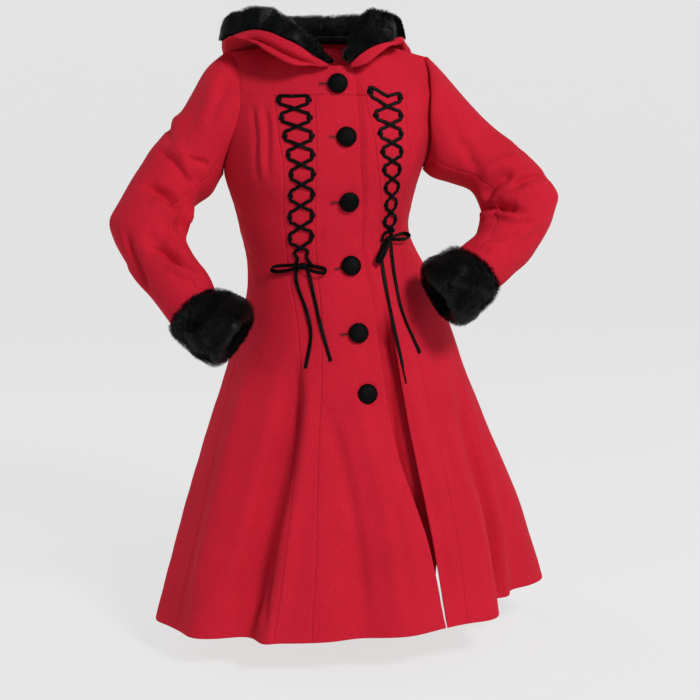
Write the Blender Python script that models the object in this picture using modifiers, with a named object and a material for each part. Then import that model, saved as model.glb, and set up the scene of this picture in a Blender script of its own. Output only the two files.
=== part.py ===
"""Hooded winter coat: a fitted and flared wool coat with fur hood facing and cuffs, worn form.

Metres, +Z up. The front of the coat faces -Y and the wearer's left is +X. The origin is at the
base of the neck, midway between the shoulders. The body is one surface, given by an angle round
the figure (0 at the front, + to the wearer's left, in degrees) and a level (0 at the hem, 10 at
the neck and shoulder seam). Every panel of cloth is a patch of it between two seams.
"""
import math
from collections import namedtuple

import bmesh
import bpy
import numpy as np
from mathutils import Matrix, Vector

# ---- driving dimensions ------------------------------------------------------------------
CLOTH = 0.0022           # wool wall
SEAM_GAP = 0.0003        # between two pieces that are sewn together
LAP = 0.0042             # how far the under front lies below the lapping one
LAP_AT_HEM = 0.0100      # and at the hem, where the fronts part
LAP_STEP = 0.01          # the left front's top edge below the yoke seam, in levels
LAP_BLEND = 4.5          # degrees over which the under front comes level with the coat
FUR_SHEET = 0.005        # hood facing with its pile
FUR_TAPER = (0.4, 1.0, 1.0, 0.6, 0.2)  # share of it at the facing's lines, turn to neck seam
NECK_HALF = 0.085        # neck base to the high shoulder point
NECK_FRONT = 0.084       # neck base to the front of the neckline
NECK_BACK = 0.070        # neck base to the nape
NECK_DROP = 0.036        # front of the neckline below the origin
NECK_ANGLE = 40.0        # degrees of the top edge that lie on the neckline, each side
SHOULDER_BULGE = 0.008   # roundness of the cloth over the shoulder
BUTTON_RADIUS = 0.0165
BUTTON_HEIGHT = 0.0085
BUTTON_SHANK = 0.0022    # length of the shank that holds the button off the cloth
BUTTON_SEAT = 0.0004     # shank above the cloth's curve, whose facets lie a little lower
BUTTON_STEPS = 16
RIBBON_WIDTH = 0.007
LACE_WIDTH = 0.0055
RIBBON_THICK = 0.0012
RIBBON_SEAT = 0.0009     # ribbon above the cloth
WAIST_LIFT = 0.0012      # further lift of what bridges the hollow of the waist
KNOT_RADIUS = 0.0055     # the knot, seen from the front
KNOT_HEIGHT = 0.0040     # half its thickness
KNOT_SEAT = 0.0050       # knot's centre above the cloth
KNOT_REACH = 0.0062      # from the knot's centre to the ends that meet it
CUFF_GAP = 0.0008        # between a sleeve and its cuff
CUFF_INNER = 0.037       # radius of the cuffs' opening
CUFF_SIDES = 16
SHANK_RADIUS = 0.003
BUTTON_WELD = 0.00002    # points of the turned profile closer than this are one
SLEEVE_RADIUS = 0.06     # at which the sleeve's seam gap is measured

TOP = 10.0               # level of the neck and shoulder seam
YOKE = 9.0               # level of the front yoke seam
UNDERARM = 7.0           # level of the armpit

# ---- the body's sections, hem to yoke ------------------------------------------------------
# height of the section, its rise at the wearer's left side, half width, depth before and
# behind its centre, the centre's place, and the turn of the figure in degrees
Section = namedtuple("Section", "name height tilt half_width front back x y turn")
SECTIONS = (
    Section("hem", -0.955, 0.013, 0.342, 0.250, 0.265, 0.033, 0.005, 18),
    Section("low skirt", -0.806, 0.009, 0.300, 0.222, 0.232, 0.031, 0.004, 17),
    Section("mid skirt", -0.663, 0.006, 0.250, 0.192, 0.200, 0.023, 0.002, 15),
    Section("hip", -0.545, 0.006, 0.206, 0.165, 0.172, 0.018, 0.000, 12),
    Section("high hip", -0.440, 0.018, 0.170, 0.138, 0.142, 0.012, -0.002, 9),
    Section("waist", -0.350, 0.028, 0.139, 0.112, 0.108, -0.008, -0.004, 6),
    Section("rib", -0.280, 0.016, 0.148, 0.118, 0.106, -0.014, -0.004, 4),
    Section("bust", -0.210, 0.004, 0.168, 0.128, 0.112, -0.017, -0.003, 2),
    Section("chest", -0.145, 0.000, 0.184, 0.122, 0.122, -0.008, 0.000, 1),
    Section("yoke", -0.083, 0.000, 0.194, 0.100, 0.124, -0.003, 0.004, 0),
)

# ends of the shoulder seams: x and z on the wearer's right and left
SHOULDER_TIP_RIGHT = (-0.186, -0.013)
SHOULDER_TIP_LEFT = (0.160, -0.020)

# ---- where the seams run, in degrees at each level ------------------------------------------
# edge: the right front's free edge; under: the left front's hidden edge; lace_in and lace_out
# bound the laced gore; side and back are the side and back princess seams
Seams = namedtuple("Seams", "name edge r_lace_in r_lace_out r_side r_back "
                            "under l_lace_in l_lace_out l_side l_back")
SEAMS = (
    Seams("hem", 14.0, -25.0, -36.0, -76.0, -146.0, -6.0, 14.5, 21.0, 50.0, 146.0),
    Seams("low skirt", 12.0, -24.0, -34.0, -75.0, -144.0, -8.0, 14.0, 23.5, 52.0, 144.0),
    Seams("mid skirt", 8.0, -22.5, -31.5, -75.0, -142.0, -10.0, 15.0, 27.0, 56.0, 142.0),
    Seams("hip", 9.0, -20.0, -30.0, -78.0, -140.0, -9.0, 17.5, 30.0, 63.0, 140.0),
    Seams("high hip", 12.0, -18.0, -32.5, -82.0, -139.0, -6.0, 22.0, 35.0, 72.0, 139.0),
    Seams("waist", 19.5, -13.0, -34.0, -85.0, -138.0, -1.0, 34.5, 54.0, 82.0, 138.0),
    Seams("rib", 22.0, -9.0, -29.5, -88.0, -138.0, 3.0, 35.0, 54.0, 87.0, 138.0),
    Seams("bust", 20.0, -5.0, -22.5, -90.0, -138.0, 2.0, 30.0, 50.0, 90.0, 138.0),
    Seams("chest", 15.5, -6.5, -26.0, -90.0, -136.0, 2.0, 23.0, 43.0, 90.0, 136.0),
    Seams("yoke", 12.5, -8.0, -29.0, -90.0, -132.0, -4.0, 17.0, 39.5, 90.0, 132.0),
    Seams("top", 9.5, -8.0, -29.0, -90.0, -118.0, -6.0, 17.0, 39.5, 90.0, 118.0),
)

# ---- the skirt's largest folds ---------------------------------------------------------------
# level and angle where the fold starts, its angle, half width (degrees) and rise at the hem
Fold = namedtuple("Fold", "name start angle hem_angle width rise")
FOLDS = (
    Fold("right front hollow", 3.0, -20, -12, 6.0, -0.010),
    Fold("front roll", 2.8, 3, 3, 7.0, 0.010),
    Fold("right lace hollow", 3.5, -34, -47, 7.5, -0.026),
    Fold("right lace roll", 2.2, -34, -39, 3.5, 0.014),
    Fold("right side roll", 3.2, -60, -63, 7.0, 0.014),
    Fold("left front roll", 2.7, 37, 29, 6.0, 0.014),
    Fold("left side hollow", 2.5, 46, 44, 7.0, -0.050),
    Fold("left side hollow's far half", 2.6, 58, 60, 11.0, -0.045),
    Fold("left side roll", 2.6, 86, 86, 9.0, 0.012),
    Fold("left back hollow", 2.8, 108, 110, 9.0, -0.030),
    Fold("left back roll", 2.6, 128, 130, 8.0, 0.018),
    Fold("left seat hollow", 3.0, 150, 152, 8.0, -0.024),
    Fold("back roll", 2.6, 172, 174, 8.0, 0.016),
    Fold("right seat hollow", 2.8, -160, -157, 8.0, -0.020),
    Fold("right back roll", 2.9, -138, -136, 8.0, 0.018),
    Fold("right back hollow", 2.7, -114, -112, 9.0, -0.026),
    Fold("right flank roll", 2.4, -93, -91, 7.0, 0.010),
)
# the deep hollow beside the front edge lies in the left front alone
RECESS = Fold("front recess", 4.6, 17.5, 10.5, 3.4, -0.036)
RECESS_DEEPEST = 2.2     # level below which the recess gets no deeper
RECESS_WINDOW = 3.0      # degrees over which it comes up beside the laced gore's seam
RECESS_MARGIN = 0.6      # degrees beside that seam which stay level with the gore

# the fullness over the chest: angle, level, half width in degrees, half height in levels, rise
Fullness = namedtuple("Fullness", "angle level width height rise")
FULLNESS = (
    Fullness(-27.0, 7.2, 22.0, 1.1, 0.012),
    Fullness(43.0, 7.2, 22.0, 1.1, 0.012),
)

# the armhole: how far it bites into the front and the back at each level, in degrees
Armhole = namedtuple("Armhole", "level front_right front_left back")
ARMHOLE = (
    Armhole(7.0, 0.0, 0.0, 0.0),
    Armhole(7.05, 5.0, 4.0, 5.0),
    Armhole(7.25, 12.0, 9.0, 11.0),
    Armhole(7.6, 21.0, 15.5, 18.0),
    Armhole(8.1, 31.0, 22.5, 25.0),
    Armhole(8.6, 37.0, 28.0, 30.0),
    Armhole(9.0, 38.5, 30.0, 31.0),
    Armhole(9.4, 26.5, 19.5, 22.0),
    Armhole(9.7, 16.5, 11.5, 14.0),
    Armhole(9.9, 9.0, 6.5, 8.0),
    Armhole(10.0, 0.0, 0.0, 0.0),
)
ARMHOLE_LAP = 1.2        # degrees by which the sleeve laps its edge
ARMHOLE_RISE = 0.0023    # and its wall's height above the lapped cloth
ARMHOLE_CROWN = 0.0022   # further height at the shoulder seam
ARMHOLE_WRAP = 2.0       # share of further lap low on the armhole
WRAP_TURN = 128.0        # where that lap is greatest, in degrees round the sleeve
WRAP_HALF = 32.0
ARMHOLE_DROP = 0.03      # levels by which the sleeve laps it under the arm

# ---- sleeves -----------------------------------------------------------------------------
# centre of each section, its half width and half depth, and the lean of its outer side from
# the vertical in degrees; x is outward from the body's middle plane
SleeveSection = namedtuple("SleeveSection", "name x y z half_width half_depth lean")
SLEEVE_RIGHT = (
    SleeveSection("head", 0.204, 0.000, -0.132, 0.090, 0.074, 8),
    SleeveSection("upper arm", 0.227, -0.006, -0.172, 0.070, 0.068, 24),
    SleeveSection("mid arm", 0.248, -0.014, -0.200, 0.065, 0.063, 36),
    SleeveSection("above elbow", 0.282, -0.030, -0.239, 0.057, 0.057, 53),
    SleeveSection("elbow", 0.303, -0.060, -0.290, 0.064, 0.058, 83),
    SleeveSection("below elbow", 0.304, -0.078, -0.323, 0.060, 0.056, 92),
    SleeveSection("forearm", 0.279, -0.100, -0.364, 0.052, 0.051, 110),
    SleeveSection("lower forearm", 0.248, -0.122, -0.400, 0.049, 0.047, 121),
    SleeveSection("cuff edge", 0.227, -0.138, -0.433, 0.045, 0.044, 132),
)
SLEEVE_LEFT = (
    SleeveSection("head", 0.178, 0.000, -0.127, 0.083, 0.070, 3),
    SleeveSection("upper arm", 0.204, -0.006, -0.163, 0.068, 0.067, 28),
    SleeveSection("mid arm", 0.236, -0.012, -0.185, 0.059, 0.061, 37),
    SleeveSection("above elbow", 0.275, -0.026, -0.210, 0.055, 0.056, 51),
    SleeveSection("elbow", 0.306, -0.048, -0.253, 0.063, 0.058, 70),
    SleeveSection("below elbow", 0.305, -0.064, -0.291, 0.061, 0.056, 88),
    SleeveSection("forearm", 0.284, -0.085, -0.330, 0.050, 0.050, 112),
    SleeveSection("lower forearm", 0.256, -0.102, -0.354, 0.047, 0.047, 128),
    SleeveSection("cuff edge", 0.234, -0.116, -0.371, 0.045, 0.044, 138),
)

# each cuff's far end, with the lean of its mouth
CUFF_END_RIGHT = (0.158, -0.158, -0.478, 150)
CUFF_END_LEFT = (0.174, -0.136, -0.414, 148)
# the cuff's outline: share of its length, outer half width
CUFF_PROFILE = ((0.0, 0.047), (0.03, 0.053), (0.15, 0.058), (0.50, 0.062),
                (0.85, 0.062), (0.97, 0.056), (1.0, 0.046))

# ---- hood ----------------------------------------------------------------------------------
# its rows run from the throat round the wearer's right, the back and the left to the throat
# neck: angle round the neck, 0 at the front, + to the wearer's left; back: against the yoke or
# the back; low: lowest line of the roll; out: farthest out; edge: where the wool ends
HoodRow = namedtuple("HoodRow", "name neck back low out edge")
HOOD = (
    HoodRow("right throat", -4, (-0.007, -0.090, -0.0385), (-0.009, -0.095, -0.0385),
            (-0.008, -0.098, -0.0370), (-0.006, -0.099, -0.0345)),
    HoodRow("right collar", -16, (-0.026, -0.095, -0.0375), (-0.030, -0.104, -0.0385),
            (-0.032, -0.108, -0.032), (-0.030, -0.107, -0.021)),
    HoodRow("right front", -38, (-0.060, -0.088, -0.029), (-0.073, -0.106, -0.029),
            (-0.074, -0.108, -0.016), (-0.067, -0.102, 0.002)),
    HoodRow("right shoulder", -64, (-0.100, -0.060, -0.008), (-0.128, -0.078, -0.001),
            (-0.134, -0.078, 0.010), (-0.127, -0.070, 0.023)),
    HoodRow("right point", -95, (-0.122, -0.004, 0.007), (-0.172, -0.020, 0.002),
            (-0.184, -0.016, 0.003), (-0.186, -0.008, 0.006)),
    HoodRow("right back", -135, (-0.100, 0.100, -0.020), (-0.135, 0.168, -0.110),
            (-0.168, 0.156, -0.060), (-0.160, 0.116, 0.010)),
    HoodRow("back", -180, (-0.012, 0.168, -0.078), (-0.018, 0.184, -0.245),
            (-0.020, 0.236, -0.150), (-0.022, 0.186, 0.028)),
    HoodRow("left back", -225, (0.084, 0.104, -0.024), (0.108, 0.168, -0.110),
            (0.134, 0.160, -0.060), (0.106, 0.128, 0.012)),
    HoodRow("left shoulder", -268, (0.100, 0.006, 0.006), (0.116, 0.000, 0.001),
            (0.122, 0.008, 0.005), (0.117, 0.022, 0.011)),
    HoodRow("left side", -295, (0.088, -0.050, -0.006), (0.098, -0.060, -0.005),
            (0.102, -0.060, 0.000), (0.099, -0.054, 0.005)),
    HoodRow("left front", -317, (0.065, -0.078, -0.022), (0.071, -0.094, -0.024),
            (0.074, -0.096, -0.014), (0.071, -0.090, -0.003)),
    HoodRow("left collar", -330, (0.044, -0.090, -0.0315), (0.048, -0.101, -0.0345),
            (0.049, -0.103, -0.028), (0.046, -0.100, -0.018)),
    HoodRow("left throat", -341, (0.028, -0.092, -0.0390), (0.030, -0.097, -0.0390),
            (0.030, -0.098, -0.0370), (0.028, -0.097, -0.0340)),
)
# the fur: turn: its edge over the wool's; crest: its top; inner: down inside the hood;
# floor: the bottom of the hood's bag; it ends inside the neck seam
FurRow = namedtuple("FurRow", "name turn crest inner floor")
FUR = (
    FurRow("right throat", (-0.005, -0.099, -0.0325), (-0.001, -0.094, -0.0235),
           (0.003, -0.088, -0.0240), (0.002, -0.085, -0.0290)),
    FurRow("right collar", (-0.029, -0.107, -0.019), (-0.020, -0.098, -0.004),
           (-0.013, -0.086, -0.010), (-0.014, -0.081, -0.022)),
    FurRow("right front", (-0.065, -0.102, 0.005), (-0.055, -0.086, 0.029),
           (-0.043, -0.070, 0.014), (-0.044, -0.066, -0.006)),
    FurRow("right shoulder", (-0.125, -0.070, 0.026), (-0.118, -0.044, 0.064),
           (-0.088, -0.030, 0.040), (-0.078, -0.030, 0.012)),
    FurRow("right point", (-0.190, -0.006, 0.010), (-0.180, 0.022, 0.050),
           (-0.132, 0.020, 0.042), (-0.108, 0.012, 0.022)),
    FurRow("right back", (-0.160, 0.114, 0.014), (-0.140, 0.118, 0.056),
           (-0.124, 0.114, 0.020), (-0.108, 0.108, 0.002)),
    FurRow("back", (-0.022, 0.188, 0.033), (-0.022, 0.170, 0.058),
           (-0.020, 0.146, 0.034), (-0.016, 0.134, -0.004)),
    FurRow("left back", (0.106, 0.126, 0.016), (0.094, 0.116, 0.060),
           (0.086, 0.108, 0.024), (0.080, 0.100, 0.004)),
    FurRow("left shoulder", (0.119, 0.022, 0.015), (0.114, 0.030, 0.040),
           (0.098, 0.022, 0.042), (0.090, 0.014, 0.022)),
    FurRow("left side", (0.099, -0.052, 0.009), (0.094, -0.030, 0.052),
           (0.080, -0.022, 0.036), (0.076, -0.026, 0.012)),
    FurRow("left front", (0.070, -0.090, 0.001), (0.061, -0.068, 0.057),
           (0.050, -0.056, 0.030), (0.051, -0.057, 0.004)),
    FurRow("left collar", (0.045, -0.100, -0.014), (0.034, -0.086, 0.024),
           (0.028, -0.076, 0.006), (0.032, -0.075, -0.012)),
    FurRow("left throat", (0.027, -0.097, -0.0315), (0.020, -0.094, -0.0140),
           (0.015, -0.087, -0.0180), (0.018, -0.084, -0.0260)),
)
HOOD_SPLIT = 6           # the row at the centre back, where the halves meet
HOOD_SEAM_LIFT = 0.0013  # wool's neck edge above the body's
FUR_SEAM_LIFT = 0.0062   # fur's lower edge above it, inside the neck
FUR_SEAM_INSET = 0.0030
HOOD_STEPS = 14          # rows of each half
HOOD_ACROSS = 8          # columns from the first line to the last

# ---- fastenings --------------------------------------------------------------------------
# level and angle of each button, from the neck down
ButtonPlace = namedtuple("ButtonPlace", "level angle")
BUTTONS = (
    ButtonPlace(9.25, 3.0),
    ButtonPlace(7.90, 9.0),
    ButtonPlace(6.30, 13.0),
    ButtonPlace(4.80, 8.5),
    ButtonPlace(3.70, 0.5),
    ButtonPlace(2.80, 0.0),
)

# lacing: level of the top bar's turns, step to the next turn, number of turns, the share of
# the gore's width at which the ribbon turns, and level and share of the bow's knot
Lacing = namedtuple("Lacing", "side lace_out lace_in first step turns near far knot share")
LACINGS = (
    Lacing("right", "r_lace_out", "r_lace_in", 8.86, 0.466, 8, 0.10, 0.90, 4.98, 0.56),
    Lacing("left", "l_lace_in", "l_lace_out", 8.92, 0.468, 8, 0.10, 0.90, 5.15, 0.30),
)
# each bow's loops: angle and level of the tip, and how far the loop's middle stands off
# each tail: level and angle, from beside the knot to the free end
BowLoop = namedtuple("BowLoop", "name angle level lift")
BOW_LOOPS = {
    "right": (BowLoop("a", -45.0, 5.00, 0.0075), BowLoop("b", -8.0, 4.78, 0.0078)),
    "left": (BowLoop("a", 62.0, 5.10, 0.0085), BowLoop("b", 25.0, 4.74, 0.0110)),
}
# a loop's outline: share of the way to its tip, share of its half opening
LOOP_OUTLINE = ((0.0, 0.30), (0.30, 0.75), (0.60, 1.0), (0.88, 0.85), (1.0, 0.0),
                (0.88, -0.85), (0.60, -1.0), (0.30, -0.75), (0.0, -0.30))
LOOP_HALF = 0.0040       # half the loop's opening
LOOP_LEAN = 0.7          # lean of the opening out of the cloth
LOOP_ROOT = 0.0062       # the loop's middle above the cloth, at the knot
LOOP_STEPS = 14
TAIL_STEPS = 17
LACE_STEPS = 52
LACE_CLEAR = 0.0009      # between two strands that cross
LACE_TURN = 0.10         # half the height of a turn, in levels
LACE_BESIDE = 0.03       # strands beside the middle of the top bar, in shares of the gore
LACE_MEET = 0.08         # strands beside the knot, in shares
LACE_MEET_RISE = 0.09    # and above it, in levels
TailPoint = namedtuple("TailPoint", "level angle")
BOW_TAILS = {
    "right_a": (TailPoint(4.90, -27.5), TailPoint(4.60, -28.5),
                TailPoint(4.10, -25.5), TailPoint(3.70, -24.5),
                TailPoint(3.20, -27.5)),
    "right_b": (TailPoint(4.88, -19.5), TailPoint(4.50, -19.5),
                TailPoint(3.90, -18.8), TailPoint(3.30, -15.0)),
    "left_a": (TailPoint(5.02, 35.0), TailPoint(4.70, 29.5),
               TailPoint(4.20, 23.0), TailPoint(3.70, 20.5),
               TailPoint(2.90, 19.5)),
    "left_b": (TailPoint(5.00, 43.0), TailPoint(4.40, 33.0),
               TailPoint(3.90, 28.5), TailPoint(3.30, 32.0)),
}

# ---- colours ------------------------------------------------------------------------------
WOOL = ("red wool", (0.50, 0.013, 0.024, 1.0), 0.85)
FUR_BLACK = ("black fur", (0.006, 0.006, 0.007, 1.0), 0.9)
VELVET = ("black velvet", (0.008, 0.008, 0.009, 1.0), 0.8)


# ---- numbers -------------------------------------------------------------------------------
def smooth(t):
    """Ease from 0 to 1 between t = 0 and t = 1."""
    t = np.clip(t, 0.0, 1.0)
    return t * t * (3.0 - 2.0 * t)


def spline(table, t):
    """Catmull-Rom curve through the rows of a table, at row number t."""
    rows = np.asarray(table, float)
    last = len(rows) - 1
    t = np.clip(np.asarray(t, float), 0.0, last)
    i = np.minimum(np.floor(t).astype(int), last - 1)
    f = (t - i)[..., None]
    p1, p2 = rows[i], rows[i + 1]
    p0 = np.where((i > 0)[..., None], rows[np.maximum(i - 1, 0)], 2 * p1 - p2)
    p3 = np.where((i < last - 1)[..., None], rows[np.minimum(i + 2, last)], 2 * p2 - p1)
    return 0.5 * (2 * p1 + (p2 - p0) * f + (2 * p0 - 5 * p1 + 4 * p2 - p3) * f ** 2
                  + (3 * p1 - p0 - 3 * p2 + p3) * f ** 3)


def unit(vectors):
    """Vectors made one long."""
    length = np.linalg.norm(vectors, axis=-1, keepdims=True)
    return vectors / np.maximum(length, 1e-12)


def seam(name, level):
    """Angle of a seam at a level."""
    column = [[getattr(row, name)] for row in SEAMS]
    return spline(column, level)[..., 0]


def armhole(side, front, level):
    """Angle of the armhole's front or back edge at a level; side is -1 right, +1 left."""
    column = ("front_right" if side < 0 else "front_left") if front else "back"
    bite = np.interp(level, [row.level for row in ARMHOLE],
                     [getattr(row, column) for row in ARMHOLE])
    return side * (90.0 - bite if front else 90.0 + bite)


# ---- the body's surface ----------------------------------------------------------------------
def ring_point(angle, level):
    """A point of the plain section at a level, up to the yoke."""
    values = spline([row[1:] for row in SECTIONS], np.minimum(level, YOKE))
    height, tilt, half_width, front, back, x, y, turn = np.moveaxis(values, -1, 0)
    a = np.radians(angle)
    across = half_width * np.sin(a)
    depth = -np.where(np.cos(a) > 0, front, back) * np.cos(a)
    t = np.radians(turn)
    return np.stack([x + across * np.cos(t) - depth * np.sin(t),
                     y + across * np.sin(t) + depth * np.cos(t),
                     height + tilt * np.sin(a)], axis=-1)


def top_point(angle):
    """A point of the neckline or the shoulder seam."""
    size = np.abs(angle)
    side = np.sign(angle)
    behind = size > 90.0
    turn = np.where(behind, 180.0 - size, size)
    q = np.radians(90.0 * np.clip(turn / NECK_ANGLE, 0.0, 1.0))
    neck = np.stack([side * NECK_HALF * np.sin(q),
                     np.where(behind, NECK_BACK, -NECK_FRONT) * np.cos(q),
                     np.where(behind, 0.010, -NECK_DROP) * np.cos(q)], axis=-1)
    tip = np.where((side < 0)[..., None], SHOULDER_TIP_RIGHT, SHOULDER_TIP_LEFT)
    along = np.clip((turn - NECK_ANGLE) / (90.0 - NECK_ANGLE), 0.0, 1.0)
    line = np.stack([side * NECK_HALF + (tip[..., 0] - side * NECK_HALF) * along,
                     0.0 * along, tip[..., 1] * along], axis=-1)
    return np.where((turn < NECK_ANGLE)[..., None], neck, line)


def fold_rise(fold, angle, level):
    """Height of a fold above the plain skirt."""
    down = np.clip((fold.start - level) / fold.start, 0.0, 1.0)
    centre = fold.angle + (fold.hem_angle - fold.angle) * down
    width = fold.width * (0.55 + 0.45 * down)
    away = (angle - centre + 180.0) % 360.0 - 180.0
    return fold.rise * down ** 1.3 * np.exp(-(away / width) ** 2)


def recess_rise(angle, level):
    """Depth of the hollow in the left front, beside the lapping edge."""
    down = np.clip((RECESS.start - level) / (RECESS.start - RECESS_DEEPEST), 0.0, 1.0)
    along = np.clip((RECESS.start - level) / RECESS.start, 0.0, 1.0)
    centre = RECESS.angle + (RECESS.hem_angle - RECESS.angle) * smooth(along * 1.4)
    shape = np.exp(-((angle - centre) / RECESS.width) ** 2)
    window = smooth((seam("l_lace_in", level) - angle - RECESS_MARGIN) / RECESS_WINDOW)
    return RECESS.rise * smooth(down) * shape * window


def body_point(angle, level, under=False):
    """A point of the coat's outer surface; under is the left front below the lap."""
    angle, level = np.broadcast_arrays(np.asarray(angle, float), np.asarray(level, float))
    ring = ring_point(angle, level)
    rise = sum(fold_rise(fold, angle, level) for fold in FOLDS)
    for full in FULLNESS:
        rise = rise + full.rise * np.exp(-((angle - full.angle) / full.width) ** 2
                                         - ((level - full.level) / full.height) ** 2)
    if under:
        sunk = smooth((seam("edge", level) + LAP_BLEND - angle) / LAP_BLEND)
        lap = LAP + (LAP_AT_HEM - LAP) * smooth((3.0 - level) / 3.0)
        rise = rise + recess_rise(angle, level) - lap * sunk
    step = 0.5
    along = ring_point(angle + step, level) - ring_point(angle - step, level)
    outward = unit(np.stack([along[..., 1], -along[..., 0], 0.0 * along[..., 2]], axis=-1))
    point = ring + rise[..., None] * outward
    share = np.clip(level - YOKE, 0.0, 1.0)[..., None]
    bulge = SHOULDER_BULGE * 4.0 * share * (1.0 - share) * np.array([0.0, 0.0, 1.0])
    if under:
        bulge = bulge + share * (LAP * sunk)[..., None] * np.array([0.0, 1.0, -0.4])
    return point * (1.0 - share) + top_point(angle) * share + bulge


def body_normal(angle, level, under=False):
    """Direction straight out of the cloth; at the shoulder seam front and back share it."""
    angle, level = np.broadcast_arrays(np.asarray(angle, float), np.asarray(level, float))
    round_it = body_point(angle + 0.4, level, under) - body_point(angle - 0.4, level, under)
    high = np.minimum(level + 0.03, TOP)
    up_it = body_point(angle, high, under) - body_point(angle, high - 0.06, under)
    normal = unit(np.cross(round_it, up_it))
    size = np.abs(angle)
    on_seam = smooth((np.minimum(size, 180.0 - size) - NECK_ANGLE + 12.0) / 12.0)
    lean = np.stack([0.3 * np.sign(angle), 0.0 * angle, 0.0 * angle + 1.0], axis=-1)
    share = (smooth((level - 9.3) / 0.7) * on_seam)[..., None]
    return unit(normal * (1.0 - share) + unit(lean) * share)


# ---- solids from grids -------------------------------------------------------------------------
def finish_object(name, verts, faces, material, place):
    """Make the object, with its faces pointing out."""
    mesh = bpy.data.meshes.new(name)
    mesh.from_pydata([tuple(v) for v in verts], [], faces)
    cage = bmesh.new()
    cage.from_mesh(mesh)
    if cage.calc_volume(signed=True) < 0.0:
        bmesh.ops.reverse_faces(cage, faces=cage.faces)
    cage.to_mesh(mesh)
    cage.free()
    mesh.shade_smooth()
    mesh.set_sharp_from_angle(angle=math.radians(40.0))
    obj = bpy.data.objects.new(name, mesh)
    obj.data.materials.append(material)
    place.objects.link(obj)
    return obj


def sheet_solid(name, outer, inner, material, place):
    """A closed wall between two grids of points; both sides of a seam split their rims alike."""
    rows, cols = outer.shape[:2]
    count = rows * cols
    verts = np.concatenate([outer.reshape(-1, 3), inner.reshape(-1, 3)])
    faces = []
    for i in range(rows - 1):
        for j in range(cols - 1):
            a = i * cols + j
            faces.append((a, a + 1, a + cols + 1, a + cols))
            faces.append((count + a, count + a + cols, count + a + cols + 1, count + a + 1))
    rim = [j for j in range(cols)]
    rim += [i * cols + cols - 1 for i in range(1, rows)]
    rim += [(rows - 1) * cols + j for j in range(cols - 2, -1, -1)]
    rim += [i * cols for i in range(rows - 2, 0, -1)]
    for k, a in enumerate(rim):
        b = rim[(k + 1) % len(rim)]
        if a < b:
            faces += [(b, a, count + b), (a, count + a, count + b)]
        else:
            faces += [(b, a, count + a), (b, count + a, count + b)]
    return finish_object(name, verts, faces, material, place)


def ring_solid(name, rings, material, place):
    """A closed solid whose rings of points follow each other round to the first."""
    rings = np.asarray(rings)
    rows, cols = rings.shape[:2]
    faces = []
    for i in range(rows):
        for j in range(cols):
            k, m = (i + 1) % rows, (j + 1) % cols
            faces.append((i * cols + j, i * cols + m, k * cols + m, k * cols + j))
    return finish_object(name, rings.reshape(-1, 3), faces, material, place)


def tube_solid(name, rings, material, place):
    """A closed solid along open rings, with flat ends."""
    rings = np.asarray(rings)
    rows, cols = rings.shape[:2]
    faces = [tuple(range(cols - 1, -1, -1))]
    for i in range(rows - 1):
        for j in range(cols):
            m = (j + 1) % cols
            faces.append((i * cols + j, i * cols + m, (i + 1) * cols + m, (i + 1) * cols + j))
    faces.append(tuple((rows - 1) * cols + j for j in range(cols)))
    return finish_object(name, rings.reshape(-1, 3), faces, material, place)


# ---- panels of the body ---------------------------------------------------------------------
SKIRT_LEVELS = (0.0, 0.6, 1.2, 1.8, 2.4, 3.0, 3.5, 4.0, 4.5, 5.0, 5.5, 6.0, 6.5, 7.0)
ARM_LEVELS = (7.05, 7.25, 7.6, 8.1, 8.6, 9.0)
YOKE_LEVELS = (9.0, 9.4, 9.7, 9.9, 10.0)


def panel(name, start, stop, levels, columns, material, place, under=False):
    """A patch of the body between two seam functions, with half a seam gap all round."""
    half = SEAM_GAP / 2
    levels = np.array(levels, float)
    middle = (start(levels) + stop(levels)) / 2
    per_level = np.linalg.norm(body_point(middle, np.minimum(levels + 0.01, TOP))
                               - body_point(middle, levels - 0.01), axis=-1) / 0.02
    levels[0] += half / per_level[0]
    levels[-1] -= half / per_level[-1]
    edges = []
    for line, way in ((start, 1.0), (stop, -1.0)):
        angle = line(levels)
        per_degree = np.linalg.norm(body_point(angle + 0.1, levels)
                                    - body_point(angle - 0.1, levels), axis=-1) / 0.2
        edges.append(angle + way * half / np.maximum(per_degree, 1e-4))
    share = np.linspace(0.0, 1.0, columns + 1)
    angles = edges[0][:, None] + (edges[1] - edges[0])[:, None] * share
    grid_levels = np.repeat(levels[:, None], columns + 1, axis=1)
    outer = body_point(angles, grid_levels, under)
    inner = outer - CLOTH * body_normal(angles, grid_levels, under)
    return sheet_solid(name, outer, inner, material, place)


def seam_line(name):
    """A seam as a function of the level."""
    return lambda level: seam(name, level)


def front_line(side, name):
    """The side seam below the armpit and the armhole's front edge above it."""
    return lambda level: np.where(level > UNDERARM, armhole(side, True, level), seam(name, level))


def back_line(side, name):
    """The side seam below the armpit and the armhole's back edge above it."""
    return lambda level: np.where(level > UNDERARM, armhole(side, False, level), seam(name, level))


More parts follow.
